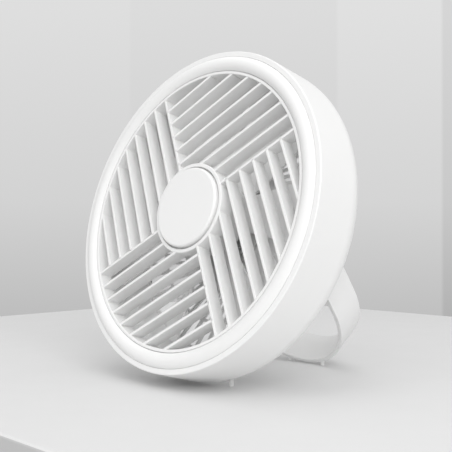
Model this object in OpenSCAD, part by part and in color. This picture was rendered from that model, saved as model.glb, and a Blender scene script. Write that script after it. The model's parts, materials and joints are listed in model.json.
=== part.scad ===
// Rechargeable desk fan: a louvred round housing that leans back on a
// folding band, which is both its stand and its carrying handle.
// Millimetres, +Z up, +X to the fan's left as it faces the viewer at -Y.
// The origin is on the floor, under the middle of the fan at rest.

/* [Housing] */
// Radius of the seam between the housing and its front ring
seam_r = 100; // [96:1:115]
// Width of the housing's rim outside the seam
lip_w = 3.5; // [2.6:0.1:4]
// Depth of the housing from rim to rear face
housing_d = 43; // [43:1:60]
// Growth of the housing's radius from rim to rear
flare = 0.5; // [0:0.1:2]
// Radius of the round rear edge
rear_round = 14; // [10:0.5:14]
// Wall of the housing and of the rear drum
wall = 2.4; // [1.8:0.1:2.6]
// Angle by which the face leans back
lean = 14.7; // [8:0.1:22]
// Width of the open seams around the front ring
seam_gap = 0.3; // [0.2:0.05:0.5]

/* [Front ring] */
// Width from seam to seam
ring_w = 9.6; // [9:0.1:11]
// Height of the ring's crown above the seams
ring_crown = 2.2; // [1:0.1:3]
// Depth at which the ring is seated
ring_seat = 4.4; // [4:0.1:6]
// Wall of the hollow ring
ring_wall = 1.6; // [1:0.1:2]

/* [Louvres] */
// Slats in each quarter of the grille
slat_count = 8; // [5:1:8]
// Distance between neighbouring slats
slat_pitch = 11.1; // [9:0.1:11.1]
// Distance of each quarter's first slat from the centre line
slat_first = 0.6; // [0:0.1:1]
// Thickness of a slat
slat_t = 1.7; // [1.2:0.1:2.4]
// Depth of a slat
slat_d = 9.5; // [8:0.1:10]
// How far the slats lie behind the front plane
slat_recess = 0.3; // [0:0.1:1]
// Turn of the louvre pattern
slat_turn = 30; // [0:1:89]
// Width of the rim that holds the slats
rim_w = 1.9; // [1.5:0.1:2.5]
// Thickness of the flange under the front ring
flange_t = 2.5; // [2:0.1:3]

/* [Hub cap] */
// Radius of the hub cap
cap_r = 25.6; // [22:0.2:27]
// Height of the cap above the louvres
cap_raise = 2.2; // [0.5:0.1:2.6]
// Width of the gap around the cap
cap_gap = 1.1; // [0.4:0.1:1.2]
// Wall of the collar that holds the cap
collar_w = 2.3; // [2:0.1:3]
// Depth at which the cap rests in the collar
cap_seat = 3; // [1.6:0.1:3.4]

/* [Impeller] */
// Number of blades
blade_count = 7; // [5:1:9]
// Radius at the blade tips
blade_tip_r = 84; // [70:1:86]
// Thickness of a blade
blade_t = 1.8; // [1.4:0.1:2.4]
// Camber radius of a blade
blade_camber = 60; // [50:1:90]
// Blade pitch at the hub
pitch_root = 42; // [35:1:48]
// Blade pitch at the tip
pitch_tip = 25; // [18:1:34]
// Width of a blade at the hub, seen from the front
blade_root_w = 15; // [12:0.5:16]
// Width of a blade at the tip, seen from the front
blade_tip_w = 36; // [24:1:40]
// Radius of the impeller's hub
hub_r = 24; // [23.5:0.1:26]
// Wall of the hub
hub_wall = 1.6; // [1.2:0.1:2]
// Distance between the louvres and the hub
hub_gap = 2.2; // [1.8:0.1:2.6]
// Distance between the hub and the motor mount
hub_clear = 9.1; // [8.6:0.1:9.6]
// Room between the impeller and the bosses of the motor mount
blade_gap = 1.56; // [1:0.01:2]

/* [Motor] */
// Radius of the shaft
shaft_r = 2; // [1.6:0.1:2.4]
// Outer radius of a bearing
bearing_r = 6.5; // [6:0.1:7]
// Width of a bearing
bearing_w = 5; // [4:0.1:5]
// Wall of the bearing tube
tube_wall = 1.9; // [1.5:0.1:2]
// Wall of the rotor can
can_wall = 1; // [0.8:0.1:1.2]
// Thickness of the magnet ring
magnet_t = 2.4; // [2:0.1:2.6]
// Air gap between the magnet ring and the stator
air_gap = 0.5; // [0.3:0.05:0.8]
// Distance between the hub's rear edge and the stator stack
stator_inset = 4; // [3.5:0.5:6]
// Number of stator teeth
tooth_count = 9; // [6:3:9]
// Radius of the motor mount's flange
mount_r = 30; // [30:0.5:33]
// Thickness of the motor mount's flange
mount_t = 2.4; // [2:0.1:2.6]

/* [Rear grille] */
// Radius of the rear opening's plate
plate_r = 88.6; // [87:0.1:89]
// Thickness of the plate
plate_t = 2.4; // [2:0.1:2.8]
// Width of the plate's outer rim
plate_rim_w = 5.2; // [5:0.1:5.6]
// Number of bars
bar_count = 60; // [30:1:64]
// Width of a bar
bar_w = 2; // [1.4:0.1:2.4]
// Angle of a bar from the radius
bar_skew = 32; // [10:1:40]
// Radius of the stiffening ring across the bars
stiff_r = 65; // [58:1:74]

/* [Rear drum] */
// Room between the tray's corners and the drum's wall
tray_gap = 1.97; // [1:0.01:3]
// Depth of the drum with its cover
drum_d = 33; // [31:0.5:38]
// Thickness of the cover
cover_t = 3; // [2.6:0.1:3.4]
// Round of the cover's rear edge
cover_round = 2; // [1:0.1:2.4]

/* [Battery] */
// Radius of a cell
cell_r = 9.1; // [8.5:0.1:9.2]
// Length of a cell
cell_l = 65; // [55:1:65]
// Distance between the two cells
cell_pitch = 20; // [20:0.1:20.6]
// Floor of the battery tray under the cells
tray_floor = 1.4; // [1:0.1:1.6]

/* [Controls] */
// Room between the circuit board and the ends of the hinge pins
board_gap = 0.4; // [0.3:0.1:1]
// Thickness of the circuit boards
board_t = 1.6; // [1:0.1:1.6]
// Radius of the power button
button_r = 7; // [5:0.1:8]
// Travel of the power button
button_travel = 0.5; // [0.3:0.05:0.6]
// How far the button stands out of the cover
button_raise = 0.7; // [0.6:0.1:1.2]
// Distance of the button above the drum's axis
button_up = 15; // [13:0.5:17]
// Distance of the charging socket below the drum's axis
socket_down = 19; // [17:0.5:22]
// Width of the charging socket
socket_w = 8.9; // [8.5:0.1:9]
// Height of the charging socket
socket_h = 3.2; // [3:0.1:3.4]
// Number of charge lights
light_count = 4; // [3:1:5]
// Distance between the charge lights
light_pitch = 5; // [4:0.5:5]

/* [Stand] */
// Width of the band
band_w = 25.6; // [20:0.1:26]
// Thickness of the band
band_t = 3; // [2:0.1:4]
// Running gap between the drum's hinge boss and the band
band_gap = 1.1; // [0.9:0.1:1.5]
// Angle of the band from upright when the fan stands
band_lean = 36.6; // [30:0.1:45]
// Distance of the hinge axis behind the housing
hinge_back = 20.3; // [18.3:0.1:20.6]
// Radius of the hinge pin
pin_r = 4; // [3:0.1:4.5]
// Radius of the hinge pin's head
pin_head_r = 7.5; // [7:0.1:9]
// Height of the hinge pin's head
pin_head_h = 1.6; // [1:0.1:2]
// Radius of the hinge boss on the drum
boss_r = 9.4; // [8.5:0.1:9.4]

/* [Feet] */
// How far the housing stays clear of the floor
floor_gap = 1.4; // [0.4:0.05:1.6]
// Radius of a foot under the housing
foot_r = 1.6; // [1.4:0.1:2.4]
// Distance of the housing's feet from the middle
foot_x = 24; // [16:0.5:28]
// Distance of the housing's feet behind the face's centre
foot_y = 14.5; // [12:0.1:15]
// How far the band's front edge stays clear of the floor
band_floor_gap = 0.55; // [0.4:0.05:1.2]
// Radius of a foot under the band
band_foot_r = 1.4; // [1:0.1:2]
// Distance of the band's feet from the middle
band_foot_x = 15; // [8:0.1:16]
// Distance of the band's feet behind its front edge
band_foot_inset = 0.2; // [0:0.1:1]

/* [Fasteners] */
// Radius of the housing and drum screws
screw_r = 1.5; // [1.3:0.05:1.6]
// Radius of their heads
screw_head_r = 2.6; // [2.4:0.1:2.7]
// Height of their heads
screw_head_h = 1.6; // [1.2:0.1:1.7]
// Radius of the circuit board's screws
small_screw_r = 1; // [0.8:0.05:1.2]
// Screws in the front flange
front_screw_count = 4; // [3:1:6]
// Screws in the rear grille
rear_screw_count = 6; // [3:1:8]

/* [Fits] */
// Gap between faces of fixed pieces
seat = 0.1; // [0.05:0.01:0.15]
// Radial clearance of a running fit
running = 0.04; // [0.02:0.01:0.08]
// Radial clearance of a pressed or screwed fit
press = 0.02; // [0.01:0.005:0.04]
// Gap between faces that turn past each other
turning = 0.3; // [0.2:0.05:0.4]
// Radial clearance of a hole that a screw or its head passes through
screw_play = 0.2; // [0.1:0.05:0.3]

/* [Hidden] */
$fn = 96;

// Room left over when a hole is cut right through
over = 1;
// Overlap of shapes that are joined into one piece
merge = 0.2;
// Shared by the retaining clips: width of the groove, its depth in the
// shaft and its depth in the hinge pins
groove_w = 0.8;
shaft_groove_d = 0.4;
pin_groove_d = 0.8;
// Thickness of the ledges that the screws go into
ledge_t = 2.4;
// Room left for the end of a screw in a blind hole
screw_room = 1.5;

// Stations along the fan's axis, measured backwards from the seam's plane
lip_round = 0.8;
ledge_s = ring_seat + flange_t + seat;
louvre_back = slat_recess + slat_d;
plate_s = housing_d - plate_t;
mount_s = plate_s - seat - mount_t;
drum_s = housing_d + seat;
drum_floor_s = drum_s + wall;
cover_s = drum_s + drum_d - cover_t;
drum_back_s = cover_s + cover_t;
hinge_s = housing_d + hinge_back;

// Radii of the housing
rim_r = seam_r + lip_w;
back_r = rim_r + flare;
flat_r = back_r - rear_round;
ring_in_r = seam_r - ring_w;
rim_out_r = ring_in_r - seam_gap / 2;
rim_in_r = rim_out_r - rim_w;
ring_mid_r = seam_r - ring_w / 2;
ring_half = (ring_w - seam_gap) / 2;
crown_r = (pow(ring_half, 2) + pow(ring_crown, 2)) / (2 * ring_crown);
crown_turn = asin(ring_half / crown_r);
plate_hole_r = plate_r + seam_gap;
ledge_in_r = ring_mid_r - screw_head_r - 1;
rear_screw_r = plate_r - plate_rim_w / 2 + 0.2;
rear_ledge_r = plate_r - plate_rim_w + 0.6;
rear_screw_turn = 30;
front_screw_turn = 45;
sink_d = screw_head_h - 0.2;
clip_s = mount_s - 0.6 + turning;
hub_boss_r = shaft_r + 3;

// The collar in the middle of the louvres
cap_hole_r = cap_r + cap_gap;
collar_r = cap_hole_r + collar_w;
skirt_hole_r = cap_hole_r - 2.2;

// Motor and impeller, carried by the rear plate
mount_boss_ring = 24;
mount_boss_r = 3.6;
rear_bearing_s = mount_s - 0.6 - bearing_w;
hub_s = louvre_back + hub_gap;
hub_front_t = 2;
boss_end_s = hub_s + hub_front_t + 1.7;
front_bearing_s = boss_end_s + turning;
hub_d = mount_s - hub_clear - hub_s;
tube_r = bearing_r + press + tube_wall;
tube_front_s = front_bearing_s - 0.5;
can_s = hub_s + hub_front_t + seat;
can_r = hub_r - hub_wall - press;
magnet_r = can_r - can_wall - press;
stator_r = magnet_r - magnet_t - air_gap;
stator_s = front_bearing_s + 1;
stator_back_s = hub_s + hub_d - stator_inset;
stator_l = stator_back_s - stator_s;
tooth_w = 3;
shoe_t = 1.6;
shoulder_r = tube_r + 1.1;
motor_board_s = stator_back_s + 4;
tip_front = axis_z(pitch_tip)
    + sqrt(pow(blade_camber - blade_t / 2, 2) - pow(blade_tip_w / 2 + axis_y(pitch_tip), 2));
root_back = axis_z(pitch_root)
    + sqrt(pow(blade_camber + blade_t / 2, 2) - pow(blade_root_w / 2 - axis_y(pitch_root), 2));
blade_s = hub_s + 0.5 - tip_front;
blade_back = mount_s - turning - blade_s;
mount_boss_d = mount_s + mount_t - max(blade_s + root_back, hub_s + hub_d) - blade_gap;

// Drum, cover and what they hold
tray_x = cell_l / 2 + 2;
tray_y = cell_pitch / 2 + cell_r + 1.4;
drum_in_r = norm([tray_x, tray_y]) + tray_gap;
drum_r = drum_in_r + wall;
cover_boss_r = 3.4;
cover_boss_ring = drum_in_r - cover_boss_r - 0.8;
cover_boss_d = 3.2;
tray_s = drum_floor_s + seat;
cell_s = tray_s + tray_floor + cell_r + seat;
cell_back_s = cell_s + cell_r;
board_s = cover_s - 4.7;
post_y = tray_y + 4.2;
tab_t = 0.4;
tab_w = 7;
board_top_s = board_s + board_t;
light_r = 1.1;
lead_r = 0.5;
lead_x = 14.5;
lead_pitch = 1.8;
slot_w = 8;
slot_h = 2.4;

// Power button, which presses the plunger of a small switch on the board
button_s = cover_s - 0.8;
switch_r = 1.75;
switch_h = 1.5;

// Hinge and band
boss_x = drum_r + 1.2;
boss_in_x = drum_r - 8;
pin_clip_x = boss_in_x - turning - groove_w;
pin_end_x = pin_clip_x - 1.1;
board_r = pin_end_x - board_gap;
band_in_x = boss_x + band_gap;
band_out_x = band_in_x + band_t;
washer_t = band_gap - 2 * seat;

// Where the fan stands
centre_h = flat_r * cos(lean) + (housing_d - rear_round) * sin(lean) + rear_round + floor_gap;
hinge_h = centre_h - hinge_s * sin(lean);
hinge_y = hinge_s * cos(lean);
leg_l = (hinge_h - band_floor_gap - band_w / 2 * sin(band_lean)) / cos(band_lean) - band_out_x;
front_y = -ring_mid_r * sin(lean) + (crown_r - ring_crown) * cos(lean) - crown_r;
back_y = hinge_y + (leg_l + band_out_x) * sin(band_lean) + band_w / 2 * cos(band_lean);
centre_y = -(front_y + back_y) / 2;

// Places of the band's feet: how far they lie below the hinge along the
// band, how far in front of it, and the band's height above the floor there
band_foot_drop = leg_l + sqrt(pow(band_out_x, 2) - pow(band_foot_x, 2));
band_foot_z = band_w / 2 - band_foot_inset - band_foot_r / cos(band_lean);
band_foot_y = centre_y + hinge_y + band_foot_drop * sin(band_lean) - band_foot_z * cos(band_lean);
band_foot_h = hinge_h - band_foot_drop * cos(band_lean) - band_foot_z * sin(band_lean);

white = [0.93, 0.93, 0.92];
pale = [0.86, 0.87, 0.88];
steel = [0.72, 0.73, 0.75];
copper = [0.78, 0.45, 0.24];
board_green = [0.10, 0.38, 0.24];

// Puts a shape drawn along +Z on the fan's axis: its Z runs backwards,
// its X stays and its Y points down the face.
module on_axis() {
    translate([0, centre_y, centre_h]) rotate([-90 - lean, 0, 0]) children();
}

// Puts a shape on the band: its origin is on the hinge axis, its Y runs up
// the band towards the hinge and its Z points at the band's front edge.
module on_band() {
    translate([0, centre_y + hinge_y, hinge_h]) rotate([90 + band_lean, 0, 0]) children();
}

// A tube between two stations along Z
module tube(r_out, r_in, from, to) {
    translate([0, 0, from]) difference() {
        cylinder(r = r_out, h = to - from);
        translate([0, 0, -over]) cylinder(r = r_in, h = to - from + 2 * over);
    }
}

// A disc between two stations along Z
module disc(r, from, to) {
    translate([0, 0, from]) cylinder(r = r, h = to - from);
}

// Copies evenly spaced on a circle
module around(count, r, start = 0) {
    for (i = [0 : count - 1]) rotate([0, 0, start + i * 360 / count]) translate([r, 0, 0]) children();
}

// A cylinder along X, between two places
module along_x(r, from, to) {
    translate([from, 0, 0]) rotate([0, 90, 0]) cylinder(r = r, h = to - from);
}

// The same shape on the left and on the right
module both_sides() {
    children();
    mirror([1, 0, 0]) children();
}

// A pan-head screw whose head lies on Z = 0 and whose shank runs along +Z
module pan_screw(r, head_r, head_h, l) {
    cross_w = 0.7;
    difference() {
        union() {
            translate([0, 0, -head_h]) cylinder(r = head_r, h = head_h, $fn = 40);
            cylinder(r = r, h = l, $fn = 32);
        }
        for (a = [0, 90]) rotate([0, 0, a]) translate([-head_r * 0.6, -cross_w / 2, -head_h - over])
            cube([head_r * 1.2, cross_w, over + head_h * 0.6]);
    }
}

// Points of an arc about a centre, from one angle to another
function arc(cx, cy, r, from, to, steps) =
    [for (i = [0 : steps]) let (a = from + (to - from) * i / steps) [cx + r * cos(a), cy + r * sin(a)]];

// The outside of the housing, filled, which also trims the feet
module housing_outline() {
    polygon(concat(
        [[0, 0]],
        arc(rim_r - lip_round, lip_round, lip_round, -90, 0, 6),
        arc(flat_r, housing_d - rear_round, rear_round, 0, 90, 20),
        [[0, housing_d]]
    ));
}

module housing_shell() {
    bend_in = rear_round - wall;
    ledge_back = ledge_s + ledge_t;
    rear_ledge_s = plate_s - seat;
    rear_ledge_front = rear_ledge_s - ledge_t;
    front_boss_l = 7;
    rear_boss_l = 3;
    color(white) on_axis() {
        difference() {
            rotate_extrude($fn = 180) difference() {
                housing_outline();
                translate([-over, -over]) square([seam_r + over, ledge_s + over]);
                translate([-over, 0]) square([ledge_in_r + over, ledge_back + over]);
                polygon(concat(
                    [[0, ledge_back]],
                    [[rim_r + flare * ledge_back / housing_d - wall, ledge_back]],
                    arc(flat_r, housing_d - rear_round, bend_in, 0,
                        asin((rear_ledge_front - housing_d + rear_round) / bend_in), 12),
                    [[0, rear_ledge_front]]
                ));
                translate([-over, rear_ledge_front - over])
                    square([rear_ledge_r + over, housing_d]);
                translate([-over, rear_ledge_s]) square([plate_hole_r + over, housing_d]);
            }
            around(front_screw_count, ring_mid_r, front_screw_turn)
                disc(screw_r + press, 0, housing_d / 2, $fn = 32);
            around(rear_screw_count, rear_screw_r, rear_screw_turn)
                disc(screw_r + press, housing_d / 2, housing_d, $fn = 32);
        }
        around(front_screw_count, ring_mid_r, front_screw_turn) difference() {
            union() {
                disc(3.4, ledge_back - merge, ledge_back + front_boss_l, $fn = 40);
                translate([0, -1, ledge_back - merge])
                    cube([seam_r + 1 - ring_mid_r, 2, front_boss_l]);
            }
            disc(screw_r + press, 0, housing_d / 2, $fn = 32);
        }
        around(rear_screw_count, rear_screw_r, rear_screw_turn)
            tube(2.9, screw_r + press, rear_ledge_front - rear_boss_l, rear_ledge_front + merge, $fn = 40);
    }
}

module front_ring() {
    color(white) on_axis() rotate_extrude($fn = 180) difference() {
        polygon(concat(
            arc(ring_mid_r, crown_r - ring_crown, crown_r, -90 - crown_turn, -90 + crown_turn, 24),
            [[ring_mid_r + ring_half, ring_seat - seat / 2], [ring_mid_r - ring_half, ring_seat - seat / 2]]
        ));
        translate([ring_mid_r - ring_half + ring_wall, ring_wall * 0.4])
            square([2 * (ring_half - ring_wall), ring_seat]);
    }
}

// One quarter of the louvres: parallel slats that run from the first slat
// of the next quarter, or from the collar, out to the rim
module louvre_quarter() {
    rim_mid = (rim_in_r + rim_out_r) / 2;
    collar_mid = collar_r - collar_w / 2;
    for (i = [0 : slat_count - 1]) {
        x = slat_first + i * slat_pitch;
        y = x < collar_mid ? sqrt(pow(collar_mid, 2) - pow(x, 2)) : -slat_first;
        translate([x - slat_t / 2, y, slat_recess])
            cube([slat_t, sqrt(pow(rim_mid, 2) - pow(x + slat_t / 2, 2)) - y, slat_d]);
    }
}

module front_grille() {
    hub_plate_t = 2;
    flange_r = seam_r - seam_gap;
    color(white) on_axis() difference() {
        union() {
            tube(rim_out_r, rim_in_r, 0, louvre_back + merge, $fn = 180);
            tube(flange_r, rim_out_r - merge, ring_seat, ring_seat + flange_t, $fn = 180);
            for (quarter = [0 : 3]) rotate([0, 0, quarter * 90 - slat_turn]) louvre_quarter();
            tube(collar_r, cap_hole_r, 0, louvre_back + merge);
            tube(cap_hole_r + merge, skirt_hole_r, cap_seat, louvre_back - hub_plate_t + merge);
            disc(cap_hole_r + merge, louvre_back - hub_plate_t, louvre_back);
        }
        around(front_screw_count, ring_mid_r, front_screw_turn)
            disc(screw_r + screw_play, 0, housing_d / 2, $fn = 32);
    }
}

module hub_cap() {
    edge = 1.4;
    skirt_t = 1.6;
    color(white) on_axis() {
        rotate_extrude() union() {
            translate([0, -cap_raise]) square([cap_r - edge, cap_seat - seat / 2 + cap_raise]);
            translate([0, edge - cap_raise]) square([cap_r, cap_seat - seat / 2 + cap_raise - edge]);
            translate([cap_r - edge, edge - cap_raise]) circle(r = edge, $fn = 32);
        }
        tube(skirt_hole_r - seat, skirt_hole_r - seat - skirt_t, cap_seat - merge, louvre_back - 2.4);
    }
}

module front_screws() {
    color(steel) on_axis() around(front_screw_count, ring_mid_r, front_screw_turn)
        translate([0, 0, ring_seat - press]) pan_screw(screw_r, screw_head_r, screw_head_h, 8);
}

module rear_grille() {
    hub_plate_r = drum_r + 1.5;
    rim_in = plate_r - plate_rim_w;
    color(white) on_axis() difference() {
        union() {
            tube(plate_r, rim_in, plate_s, housing_d, $fn = 180);
            tube(stiff_r + 1, stiff_r - 1, plate_s + 0.3, housing_d - 0.3, $fn = 180);
            disc(hub_plate_r, plate_s, housing_d);
            around(bar_count, hub_plate_r - 1) rotate([0, 0, bar_skew])
                translate([0, -bar_w / 2, plate_s + 0.15])
                cube([bar_length(hub_plate_r - 1, rim_in + 1.5), bar_w, plate_t - 0.3]);
        }
        around(rear_screw_count, rear_screw_r, rear_screw_turn) {
            disc(screw_r + screw_play, plate_s - over, housing_d + over, $fn = 32);
            disc(screw_head_r + screw_play, housing_d - sink_d, housing_d + over, $fn = 40);
        }
        around(4, mount_boss_ring, 45) disc(screw_r + screw_play, plate_s - over, housing_d + over, $fn = 32);
        lead_slot(plate_s - over, housing_d + over);
        disc(hub_boss_r, plate_s - over, housing_d + over);
    }
}

// Length of a skewed bar that starts at one radius and ends at another
function bar_length(from_r, to_r) =
    sqrt(pow(to_r, 2) - pow(from_r * sin(bar_skew), 2)) - from_r * cos(bar_skew);

module rear_screws() {
    color(steel) on_axis() around(rear_screw_count, rear_screw_r, rear_screw_turn)
        translate([0, 0, housing_d - sink_d + press]) mirror([0, 0, 1])
        pan_screw(screw_r, screw_head_r, sink_d - 2 * press, 6);
}

// The slot that lets the motor's leads through a wall
module lead_slot(from, to) {
    translate([lead_x + lead_pitch - slot_w / 2, -slot_h / 2, from]) cube([slot_w, slot_h, to - from]);
}

module motor_leads() {
    color("firebrick") on_axis() for (i = [0 : 2])
        translate([lead_x + i * lead_pitch, 0, 0])
        disc(lead_r, motor_board_s + board_t, board_s, $fn = 24);
}

module motor_mount() {
    wide_r = shoulder_r + 1.6;
    join_s = mount_s + merge;
    color(pale) on_axis() difference() {
        union() {
            disc(mount_r, mount_s, mount_s + mount_t);
            disc(tube_r, tube_front_s, join_s);
            disc(shoulder_r, stator_back_s + press, join_s);
            disc(wide_r, motor_board_s + board_t + press, join_s);
            around(4, mount_boss_ring, 45)
                disc(mount_boss_r, mount_s - mount_boss_d + mount_t, join_s, $fn = 40);
        }
        disc(bearing_r + press, tube_front_s - over, front_bearing_s + bearing_w + press);
        disc(bearing_r - 1.2, tube_front_s - over, plate_s);
        disc(bearing_r + press, rear_bearing_s - press, plate_s);
        around(4, mount_boss_ring, 45)
            disc(screw_r + press, mount_s - mount_boss_d, plate_s, $fn = 32);
        lead_slot(mount_s - mount_boss_d, plate_s);
    }
}

// A ball bearing, with its shields set back between the two rings
module bearing(from) {
    race_t = 1.1;
    shield_d = 0.3;
    color(steel) on_axis() difference() {
        tube(bearing_r, shaft_r + running, from, from + bearing_w);
        tube(bearing_r - race_t, shaft_r + race_t, from - over, from + shield_d);
        tube(bearing_r - race_t, shaft_r + race_t, from + bearing_w - shield_d, from + bearing_w + over);
    }
}

module front_bearing() bearing(front_bearing_s);
module rear_bearing() bearing(rear_bearing_s);

module stator_core() {
    color("dimgray") on_axis() difference() {
        union() {
            tube(tube_r + 2.2, tube_r + press, stator_s, stator_back_s);
            for (i = [0 : tooth_count - 1]) rotate([0, 0, i * 360 / tooth_count])
                translate([tube_r + 1.5, -tooth_w / 2, stator_s])
                cube([stator_r - tube_r - 1.5 - shoe_t / 2, tooth_w, stator_l]);
            tube(stator_r, stator_r - shoe_t, stator_s, stator_back_s);
        }
        around(tooth_count, stator_r, 180 / tooth_count)
            translate([-shoe_t - over, -1, stator_s - over])
            cube([shoe_t + 2 * over, 2, stator_l + 2 * over]);
    }
}

module stator_coils() {
    coil_t = 1.5;
    coil_from = tube_r + 2.5;
    coil_l = stator_r - shoe_t - 0.3 - coil_from;
    color(copper) on_axis() for (i = [0 : tooth_count - 1]) rotate([0, 0, i * 360 / tooth_count])
        difference() {
            translate([coil_from, -tooth_w / 2 - coil_t, stator_s - coil_t])
                cube([coil_l, tooth_w + 2 * coil_t, stator_l + 2 * coil_t]);
            translate([coil_from - over, -tooth_w / 2 - press, stator_s - press])
                cube([coil_l + 2 * over, tooth_w + 2 * press, stator_l + 2 * press]);
        }
}

module motor_board() {
    color(board_green) on_axis()
        tube(stator_r + 1.5, shoulder_r + press, motor_board_s, motor_board_s + board_t);
}

// The hinge axis, with X across the drum
module at_hinge() {
    translate([0, 0, hinge_s]) children();
}

module drum_shell() {
    boss_rib_t = 2.4;
    color(white) on_axis() difference() {
        union() {
            difference() {
                disc(drum_r, drum_s, cover_s - seat, $fn = 120);
                disc(drum_in_r, drum_floor_s, cover_s + over, $fn = 120);
            }
            around(4, cover_boss_ring, 45)
                disc(cover_boss_r, drum_floor_s - merge, cover_s - cover_boss_d, $fn = 40);
            around(4, cover_boss_ring, 45) translate([0, -boss_rib_t / 2, drum_floor_s - merge])
                cube([drum_r - 1.8 - cover_boss_ring, boss_rib_t, cover_s - cover_boss_d - drum_floor_s]);
            both_sides() at_hinge() along_x(boss_r, boss_in_x, boss_x);
        }
        both_sides() at_hinge() along_x(pin_r + running, boss_in_x - over, boss_x + over);
        around(4, cover_boss_ring, 45)
            disc(screw_r + press, drum_floor_s + wall, cover_s, $fn = 32);
        around(4, mount_boss_ring, 45)
            disc(screw_r + screw_play, drum_s - over, drum_floor_s + over, $fn = 32);
        for (side = [-1, 1]) translate([0, side * post_y, 0])
            disc(small_screw_r + press, drum_s - over, drum_floor_s + over, $fn = 24);
        lead_slot(drum_s - over, drum_floor_s + over);
    }
}

module drum_screws() {
    color(steel) on_axis() around(4, mount_boss_ring, 45)
        translate([0, 0, drum_floor_s + press]) mirror([0, 0, 1])
        pan_screw(screw_r, screw_head_r, screw_head_h, wall + plate_t + mount_boss_d - screw_room);
}

module drum_cover() {
    spigot_t = 1.8;
    spigot_r = drum_in_r - 2 * seat;
    socket_gap = 0.2;
    color(white) on_axis() difference() {
        union() {
            rotate_extrude($fn = 120) polygon(concat(
                [[0, cover_s], [drum_r, cover_s]],
                arc(drum_r - cover_round, drum_back_s - cover_round, cover_round, 0, 90, 10),
                [[0, drum_back_s]]
            ));
            tube(spigot_r, spigot_r - spigot_t, cover_s - 2.6, cover_s + merge, $fn = 120);
            around(4, cover_boss_ring, 45)
                disc(cover_boss_r, cover_s - cover_boss_d + seat, cover_s + merge, $fn = 40);
        }
        around(4, cover_boss_ring, 45) {
            disc(screw_r + screw_play, cover_s - cover_boss_d - over, drum_back_s + over, $fn = 32);
            disc(screw_head_r + screw_play, drum_back_s - sink_d, drum_back_s + over, $fn = 40);
        }
        translate([0, -button_up, 0]) disc(button_r + running, cover_s - over, drum_back_s + over);
        translate([0, socket_down, 0])
            stadium(socket_w + 2 * socket_gap, socket_h + 2 * socket_gap, cover_s - over, drum_back_s + over);
        light_places() disc(light_r + press, cover_s - over, drum_back_s + over, $fn = 24);
        both_sides() at_hinge() along_x(boss_r + seat, boss_in_x - seat, boss_x);
    }
}

module cover_screws() {
    color(steel) on_axis() around(4, cover_boss_ring, 45)
        translate([0, 0, drum_back_s - sink_d + press]) mirror([0, 0, 1])
        pan_screw(screw_r, screw_head_r, sink_d - 2 * press, 9);
}

// A rounded slot shape, lying across the drum
module stadium(w, h, from, to) {
    for (side = [-1, 1]) translate([side * (w - h) / 2, 0, 0]) disc(h / 2, from, to, $fn = 40);
    translate([-(w - h) / 2, -h / 2, from]) cube([w - h, h, to - from]);
}

module light_places() {
    for (i = [0 : light_count - 1])
        translate([(i - (light_count - 1) / 2) * light_pitch, 3, 0]) children();
}

module battery_tray() {
    strap_w = 10;
    post_r = 2.6;
    strap_end = post_y + 3.4;
    inside = tray_y - 1;
    color("darkslategray") on_axis() difference() {
        union() {
            translate([-tray_x, -tray_y, tray_s]) cube([2 * tray_x, 2 * tray_y, tray_floor + cell_r * 0.8]);
            for (side = [-1, 1]) {
                translate([-strap_w / 2, side > 0 ? inside : -strap_end, tray_s])
                    cube([strap_w, strap_end - inside, tray_floor]);
                translate([0, side * post_y, 0]) disc(post_r, tray_s, board_s - press, $fn = 40);
            }
        }
        for (side = [-1, 1]) translate([0, side * cell_pitch / 2, cell_s])
            along_x(cell_r + seat, -cell_l / 2 - tab_t - 2 * seat, cell_l / 2 + tab_t + 2 * seat);
        for (side = [-1, 1]) translate([0, side * post_y, 0])
            disc(small_screw_r + screw_play, tray_s - over, board_s + over, $fn = 24);
        both_sides() translate([cell_l / 2, -cell_pitch / 2, cell_s - tab_w / 2 - seat])
            cube([tab_t + 2 * seat, cell_pitch, cell_r]);
        around(4, mount_boss_ring, 45)
            disc(screw_head_r + 2 * screw_play, tray_s - over, tray_s + tray_floor + cell_r, $fn = 40);
        lead_slot(tray_s - over, board_s);
    }
}

module battery_cells() {
    tip_r = 2.6;
    tip_h = 0.8;
    color("steelblue") on_axis() for (side = [-1, 1])
        translate([0, side * cell_pitch / 2, cell_s]) {
            along_x(cell_r, -cell_l / 2 + (side > 0 ? 0 : tip_h), cell_l / 2 - (side > 0 ? tip_h : 0));
            along_x(tip_r, -cell_l / 2, cell_l / 2);
        }
}

module cell_tabs() {
    tail_y = 3;
    tail_w = 4;
    color(steel) on_axis() {
        both_sides() translate([cell_l / 2 + press, -cell_pitch / 2 - tab_w / 2, cell_s - tab_w / 2])
            cube([tab_t, cell_pitch + tab_w, tab_w]);
        both_sides() translate([cell_l / 2 + press, tail_y, cell_s - tab_w / 2])
            cube([tab_t, tail_w, board_top_s - cell_s + tab_w / 2]);
    }
}

module control_board() {
    edge_cut = cell_l / 2 - 0.3;
    driver = [7, 7, 1];
    driver_at = [-20, -22, 0];
    charger = [5, 4, 1];
    charger_at = [14, -4, 0];
    color(board_green) on_axis() difference() {
        intersection() {
            disc(board_r, board_s, board_top_s);
            translate([-edge_cut, -board_r - over, board_s - over])
                cube([2 * edge_cut, 2 * (board_r + over), board_t + 2 * over]);
        }
        for (side = [-1, 1]) translate([0, side * post_y, 0])
            disc(small_screw_r + screw_play, board_s - over, board_top_s + over, $fn = 24);
    }
    color("black") on_axis() {
        translate(driver_at) chip(driver);
        translate(charger_at) chip(charger);
        light_places() translate([-0.8, -0.6, 0]) chip([1.6, 1.2, 0.8]);
    }
}

// A component on the back of the control board
module chip(size) {
    translate([0, 0, board_top_s - press]) cube(size);
}

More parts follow.
